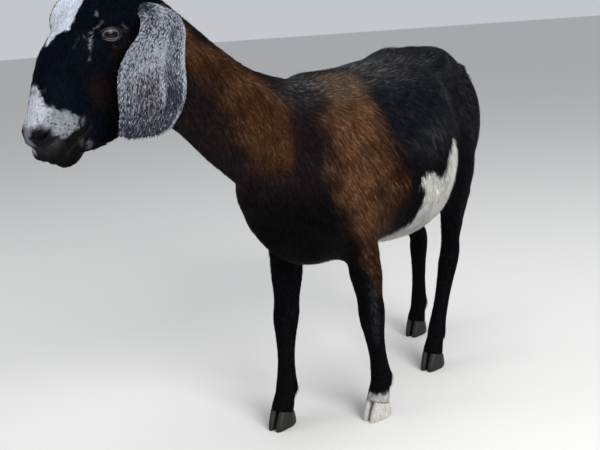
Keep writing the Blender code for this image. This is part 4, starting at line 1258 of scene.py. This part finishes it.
# One ear as a bent blade with a ridge along it, a valley behind the ridge and a turned rear rim
def earSkin(side, word):
    rows = smoothRun(ears["stations"], ears["rows"])
    turn = math.radians(ears["turn"])
    breadth = np.array([math.sin(turn), math.cos(turn), 0.0])
    tangents = [unit(tangent) for tangent in np.gradient(rows[:, :3], axis=0)]
    s = np.cos(np.linspace(0.0, math.pi, ears["across"]))
    s, face = np.concatenate([s, -s]), np.repeat((1, -1), len(s))      # the outer face, then the inner one
    each = len(s)
    rings = []
    for t, row, tangent in zip(np.arange(len(rows)) / (len(rows) - 1), rows, tangents):
        half = max(row[3] - ears["coat"] * 0.6, 0.004)
        lift = row[4] * (1 - s * s) + face * (row[5] - ears["coat"] * 0.6) * np.sqrt(1 - 0.9 * s * s)
        lift += reachOf(t) * (0.0034 * bell(s - 0.20, 0.14) - 0.0036 * bell(s - 0.52, 0.20))
        lift += 0.0016 * bell(s - 0.97, 0.09) * fade(0.15, 0.3, t)
        lift += 0.0012 * np.sin(9 * t + 2.0 * s) * reachOf(t)
        ring = row[:3] + np.outer(s * half, breadth) + np.outer(lift, unit(np.cross(tangent, breadth)))
        rings.append(ring * (side, 1, 1))
    points = np.concatenate(rings)
    quads = ringQuads(len(rings), each)
    triangles = np.concatenate([quads[:, [0, 1, 2]], quads[:, [0, 2, 3]]])
    ends = [(0, i, i + 1) for i in range(1, each - 1)]
    last = len(points) - each
    ends += [(last + j, last + i, last) for _, i, j in ends]
    item = meshFrom("ear_skin_" + word, points, np.concatenate([triangles, ends]))
    with editing(item) as bm:
        bmesh.ops.recalc_face_normals(bm, faces=bm.faces)

    t = np.repeat(np.arange(len(rows)) / (len(rows) - 1), each)
    s, face = np.tile(s, len(rows)), np.tile(face, len(rows))
    chart = np.stack([0.26 + 0.23 * s + 0.48 * (face < 0), 0.02 + 0.96 * t], axis=1)
    body = surfaceOf(points, normalsOf(item), triangles, chart[triangles])
    body["lie"] = np.repeat(tangents, each, axis=0) * (side, 1, 1)
    body["bare"] = np.where(t < 0.03, 1.0, 0.0)
    body["length"] = 0.0052 - 0.0012 * fade(0.6, 1.0, np.abs(s))
    cloud = ripple(np.stack([t * 0.19, s * 0.04, face * 0.01], axis=1), 0.045, 31)
    dark = 0.47 + 0.10 * (1 - fade(0.35, 0.50, t)) + 0.08 * cloud + 0.34 * fade(0.62, 0.90, t)
    dark += 0.85 * (1 - fade(0.03, 0.22, t)) * (1 - fade(-0.6, 0.3, s)) - 0.08 * bell(t - 0.35, 0.2)
    # Painted highlight along the ridge and painted shade in the valley behind it
    dark += reachOf(t) * (0.20 * fade(0.24, 0.38, s) - 0.30 * bell(s - 0.20, 0.05))
    # Painted highlight on the turned rear rim
    dark -= 0.45 * fade(0.84, 0.94, s) * fade(0.15, 0.3, t)
    pink = 0.7 * spot(t, s, 0.72, -0.15, 0.14, 0.35) + 0.5 * fade(0.93, 0.99, s)
    body["main"] = mix(coat["earLight"], coat["earPink"], pink) * (1.0 - 0.25 * fade(0.75, 1.0, t))[:, None]
    body["second"] = np.tile(coat["earDark"], (len(t), 1))
    body["share"] = np.clip(np.where(face > 0, dark, 0.55), 0.05, 0.95)
    # Painted shade under the hair: the ear's skin darker than its hair, and brown on the inner face
    shadeUnderHair = mix(body["main"] * 0.7, body["second"], body["share"])
    setColours(item, "coat", mix(shadeUnderHair, coat["earUnder"], 0.5 * (face < 0)))
    setNumber(item, "bare", np.zeros(len(t)))
    return item, body


earCoat = coatMaterial("coatEar", 0.55, 900.0)
earSkinLook = skinMaterial()
for side, word in bothSides:
    item, body = earSkin(side, word)
    settle(item, earSkinLook, "coat_grey", "ear_" + word)
    everywhere = np.ones(len(body["area"]), bool)
    hair = tufts("ear_coat_" + word, body, everywhere, looks["ear"], coatSeed + 40 + side)
    settle(hair, earCoat, "coat_grey")
print("ears made")

# Eyes, lids and lashes

lashes = {"count": 26, "length": 0.0095, "width": 0.0005}


# A ball with the clear front standing a little proud of it
def eyeball(word):
    item = ellipsoid("eyeball_" + word, (0, 0, 0), (eye["radius"],) * 3, segments=64)
    points = pointsOf(item)
    front = np.clip(points[:, 2] / eye["radius"], 0, 1)
    movePoints(item, points * (1 + 0.030 * fade(0.70, 1.0, front))[:, None] * 0.985)
    return smoothShaded(item)


# Out of the eye through a place of the opening
def lidWay(u, v):
    return unit((u, v, math.sqrt(eye["radius"] ** 2 - u * u - v * v)))


# The moist dark edge of both lids as one closed band round the opening
def lidRim(side, word):
    rings = []
    around = np.linspace(0, 2 * math.pi, 10, endpoint=False)
    for angle in np.linspace(0, 2 * math.pi, 72, endpoint=False):
        c, s = math.cos(angle), math.sin(angle)
        u = eye["halfLength"] * math.copysign(abs(c) ** (2 / eye["squareness"]), c)
        tall = eye["upper"] if s > 0 else eye["lower"]
        v = tall * math.copysign(abs(s) ** (2 / eye["squareness"]), s)
        outward = lidWay(u, v)
        sideways = unit((u / eye["halfLength"] ** 2, v / tall**2, 0.0))
        size = eye["lidThickness"] * (1.0 if s > 0 else 0.85) * (1 - 0.5 * float(fade(0.72, 0.98, -c * side)))
        centre = outward * (eye["radius"] + eye["lidGap"] * 0.75)
        section = 0.75 * np.outer(np.cos(around), outward) + np.outer(np.sin(around), sideways)
        rings.append(centre + size * section)
    return meshFrom("lid_rim_" + word, np.concatenate(rings), ringQuads(len(rings), len(around), True))


# Short dark lashes that stand out of the upper lid
def lashRow(side, word):
    rng = np.random.default_rng(coatSeed + 60 + side)
    points, corners = [], []
    droop = np.array((0, -0.35, 0.0))
    for share in (np.arange(lashes["count"]) + 0.5) / lashes["count"] * 2 - 1:
        rise = eye["upper"] * (1 - abs(share) ** eye["squareness"]) ** (1 / eye["squareness"])
        outward = lidWay(0.92 * eye["halfLength"] * share, rise)
        root = outward * (eye["radius"] + 0.0008)
        way = unit(outward + np.array((0.25 * share, 0.25, 0.0)) + rng.normal(size=3) * 0.10)
        size = lashes["length"] * rng.uniform(0.7, 1.1)
        beside = unit(np.cross(way, (0, 1, 0))) * lashes["width"] / 2
        upward = unit(np.cross(beside, way)) * lashes["width"] / 2
        base = len(points)
        corners.append((base, base + 2, base + 1))
        for centre in (root, root + (way + droop * 0.3) * size * 0.5):
            points += [centre - beside, centre + beside, centre + upward]
        points.append(root + (way + droop) * size)
        for i, j in ((0, 1), (1, 2), (2, 0)):
            faces = ((i, j, 3 + j), (i, 3 + j, 3 + i), (3 + i, 3 + j, 6))
            corners += [tuple(base + corner for corner in face) for face in faces]
    return meshFrom("lashes_" + word, np.array(points), np.array(corners))


eyeLook = eyeMaterial()
lidLook = mottledMaterial("lidRimSkin", (0.0050, 0.0046, 0.0046), 0.45, 500.0)
lashLook = mottledMaterial("lashHair", (0.010, 0.009, 0.009), 0.5, 300.0)
for side, word in bothSides:
    ball = eyeball(word)
    ball.matrix_world = eyeFrame(side)
    settle(ball, eyeLook, "eye", "eye_" + word)
    for item, look in ((lidRim(side, word), lidLook), (lashRow(side, word), lashLook)):
        item.data.transform(eyeFrame(side))
        settle(item, look, "coat_black")
print("eyes made")

# Hooves

# Height up the wall, reach in front of the coronet and behind it, half width
hoof = {"rings": [
    (0.0, 0.0360, 0.0215, 0.0108),
    (0.25, 0.0335, 0.0225, 0.0112),
    (0.65, 0.0265, 0.0215, 0.0106),
    (1.0, 0.0195, 0.0200, 0.0098),
], "spread": 0.0122, "ridge": 0.00022, "levels": 26, "sides": 40, "worn": 0.0012}


# The place of a foot: origin under its coronet, Y backward along the foot and Z up
def footFrame(leg):
    coronet = legJoints(leg)[4]
    back = coronet - Vector(leg[4])
    back.z = 0.0
    upright = surfaceFrame((coronet.x, coronet.y, 0.0), back.cross(Vector((0, 0, 1))), Vector((0, 0, 1)))
    return upright, coronet.z


# One claw with rings of growth up its wall and a worn edge at the ground
def claw(name, leg, hand):
    place, height = footFrame(leg)
    slope = math.tan(math.radians(foot["coronetSlope"]))
    profile = smoothRun([(0.0, 0.0, *ring) for ring in hoof["rings"]], hoof["levels"])
    rings = []
    for level, (_, _, share, front, back, half) in enumerate(profile):
        grow = hoof["ridge"] * math.sin(level * 1.55) - 0.0003
        grow -= hoof["worn"] * (1 - float(fade(0.0, 0.08, share)))
        ring = []
        for angle in np.linspace(0.0, 2 * math.pi, hoof["sides"], endpoint=False):
            c, s = math.cos(angle), math.sin(angle)
            x = (half + grow) * math.copysign(abs(c) ** 0.75, c) * (1.0 if c > 0 else 0.93)
            y = (back + grow) * s if s > 0 else (front + grow) * math.copysign(abs(s) ** 1.25, s)
            x -= 0.004 * max(0.0, -s) * (front / 0.036)
            top = height - slope * y + 0.001
            ring.append(place @ Vector((hand * (x + hoof["spread"]), y, share * top)))
        rings.append(ring)
    item = smoothShaded(tube(name, rings))
    with editing(item) as bm:
        for edge in bm.edges:
            edge.smooth = len(edge.link_faces) != 2 or edge.calc_face_angle(0.0) < math.radians(50)
    return item


def dewclaw(name, leg, hand):
    joints = legJoints(leg)
    turned = footFrame(leg)[0].to_3x3()
    centre = joints[3].lerp(joints[4], 0.28) + turned @ Vector((hand * 0.0098, 0.0172, -0.003))
    item = ellipsoid(name, (0, 0, 0), (0.0048, 0.0054, 0.0072), 24, 28)
    points = pointsOf(item)
    movePoints(item, points * (1 + 0.03 * np.sin(points[:, 2] * 2600))[:, None])      # rings of growth
    item.data.transform(Matrix.Translation(centre) @ turned.to_4x4())
    return smoothShaded(item)


darkHorn = hornMaterial("hornDark", (0.0035, 0.0032, 0.0030), (0.016, 0.0142, 0.0125))
paleHorn = hornMaterial("hornPale", (0.24, 0.22, 0.20), (0.50, 0.48, 0.45))
for word, leg in legs.items():
    side = 1 if word.endswith("left") else -1
    horn, slot = (paleHorn, "hoof_pale") if word == "fore_left" else (darkHorn, "hoof_dark")
    for hand, place in ((side, "outer"), (-side, "inner")):
        settle(claw(f"hoof_{word}_{place}", leg, hand), horn, slot, f"claw_{word}_{place}")
        settle(dewclaw(f"spur_{word}_{place}", leg, hand), darkHorn, "hoof_dark", f"dewclaw_{word}_{place}")
print("hooves made")

# Floor, light and camera

stageLook = {"floor": (0.66, 0.65, 0.63), "world": (0.78, 0.81, 0.86), "worldStrength": 0.70}
floorMesh = bmesh.new()
bmesh.ops.create_grid(floorMesh, x_segments=1, y_segments=1, size=60.0)
floor = linkMesh("floor", floorMesh)
floorMade, _, floorShader = material("floorPale", 0.85)
floorShader.inputs["Base Color"].default_value = (*stageLook["floor"], 1)
floor.data.materials.append(floorMade)

world = bpy.data.worlds.new("studio")
bpy.context.scene.world = world
world.use_nodes = True
world.node_tree.nodes["Background"].inputs["Color"].default_value = (*stageLook["world"], 1)
world.node_tree.nodes["Background"].inputs["Strength"].default_value = stageLook["worldStrength"]

lights = {
    "key": {"at": (2.9, -1.0, 1.9), "aim": (0.0, 0.1, 0.45), "size": 2.4, "power": 150},
    "top": {"at": (0.3, 0.2, 3.3), "aim": (0.0, 0.1, 0.5), "size": 2.4, "power": 30},
    "fill": {"at": (-2.4, -2.2, 2.0), "aim": (0.0, 0.0, 0.5), "size": 2.2, "power": 24},
}
for name, light in lights.items():
    lamp = bpy.data.lights.new(name, "AREA")
    lamp.shape, lamp.size, lamp.energy = "DISK", light["size"], light["power"]
    item = link(name, lamp)
    item.location = light["at"]
    item.rotation_euler = (Vector(light["aim"]) - Vector(light["at"])).to_track_quat("-Z", "Y").to_euler()

# The photograph's view: place, heading, pitch and roll in degrees, and focal length in pixels of 600
view = {"at": (0.93395, -1.24821, 0.77556), "heading": 38.06, "pitch": 13.30, "roll": -4.47,
        "focal": 833.03, "across": 600, "sensor": 36.0}
camera = link("camera", bpy.data.cameras.new("camera"))
camera.data.sensor_width = view["sensor"]
camera.data.sensor_fit = "HORIZONTAL"
camera.data.lens = view["focal"] / view["across"] * view["sensor"]
camera.data.clip_start = 0.05
heading, pitch, roll = (math.radians(view[name]) for name in ("heading", "pitch", "roll"))
level = Vector((math.cos(heading), math.sin(heading), 0.0))
upright = Vector((0.0, 0.0, 1.0))
forward = upright.cross(level) * math.cos(pitch) - upright * math.sin(pitch)
above = level.cross(forward)
rightWay = level * math.cos(roll) + above * math.sin(roll)
upWay = above * math.cos(roll) - level * math.sin(roll)
camera.matrix_world = Matrix((rightWay, upWay, -forward)).transposed().to_4x4()
camera.location = Vector(view["at"]) + rowShift
bpy.context.scene.camera = camera
bpy.context.scene.view_settings.view_transform = "Standard"
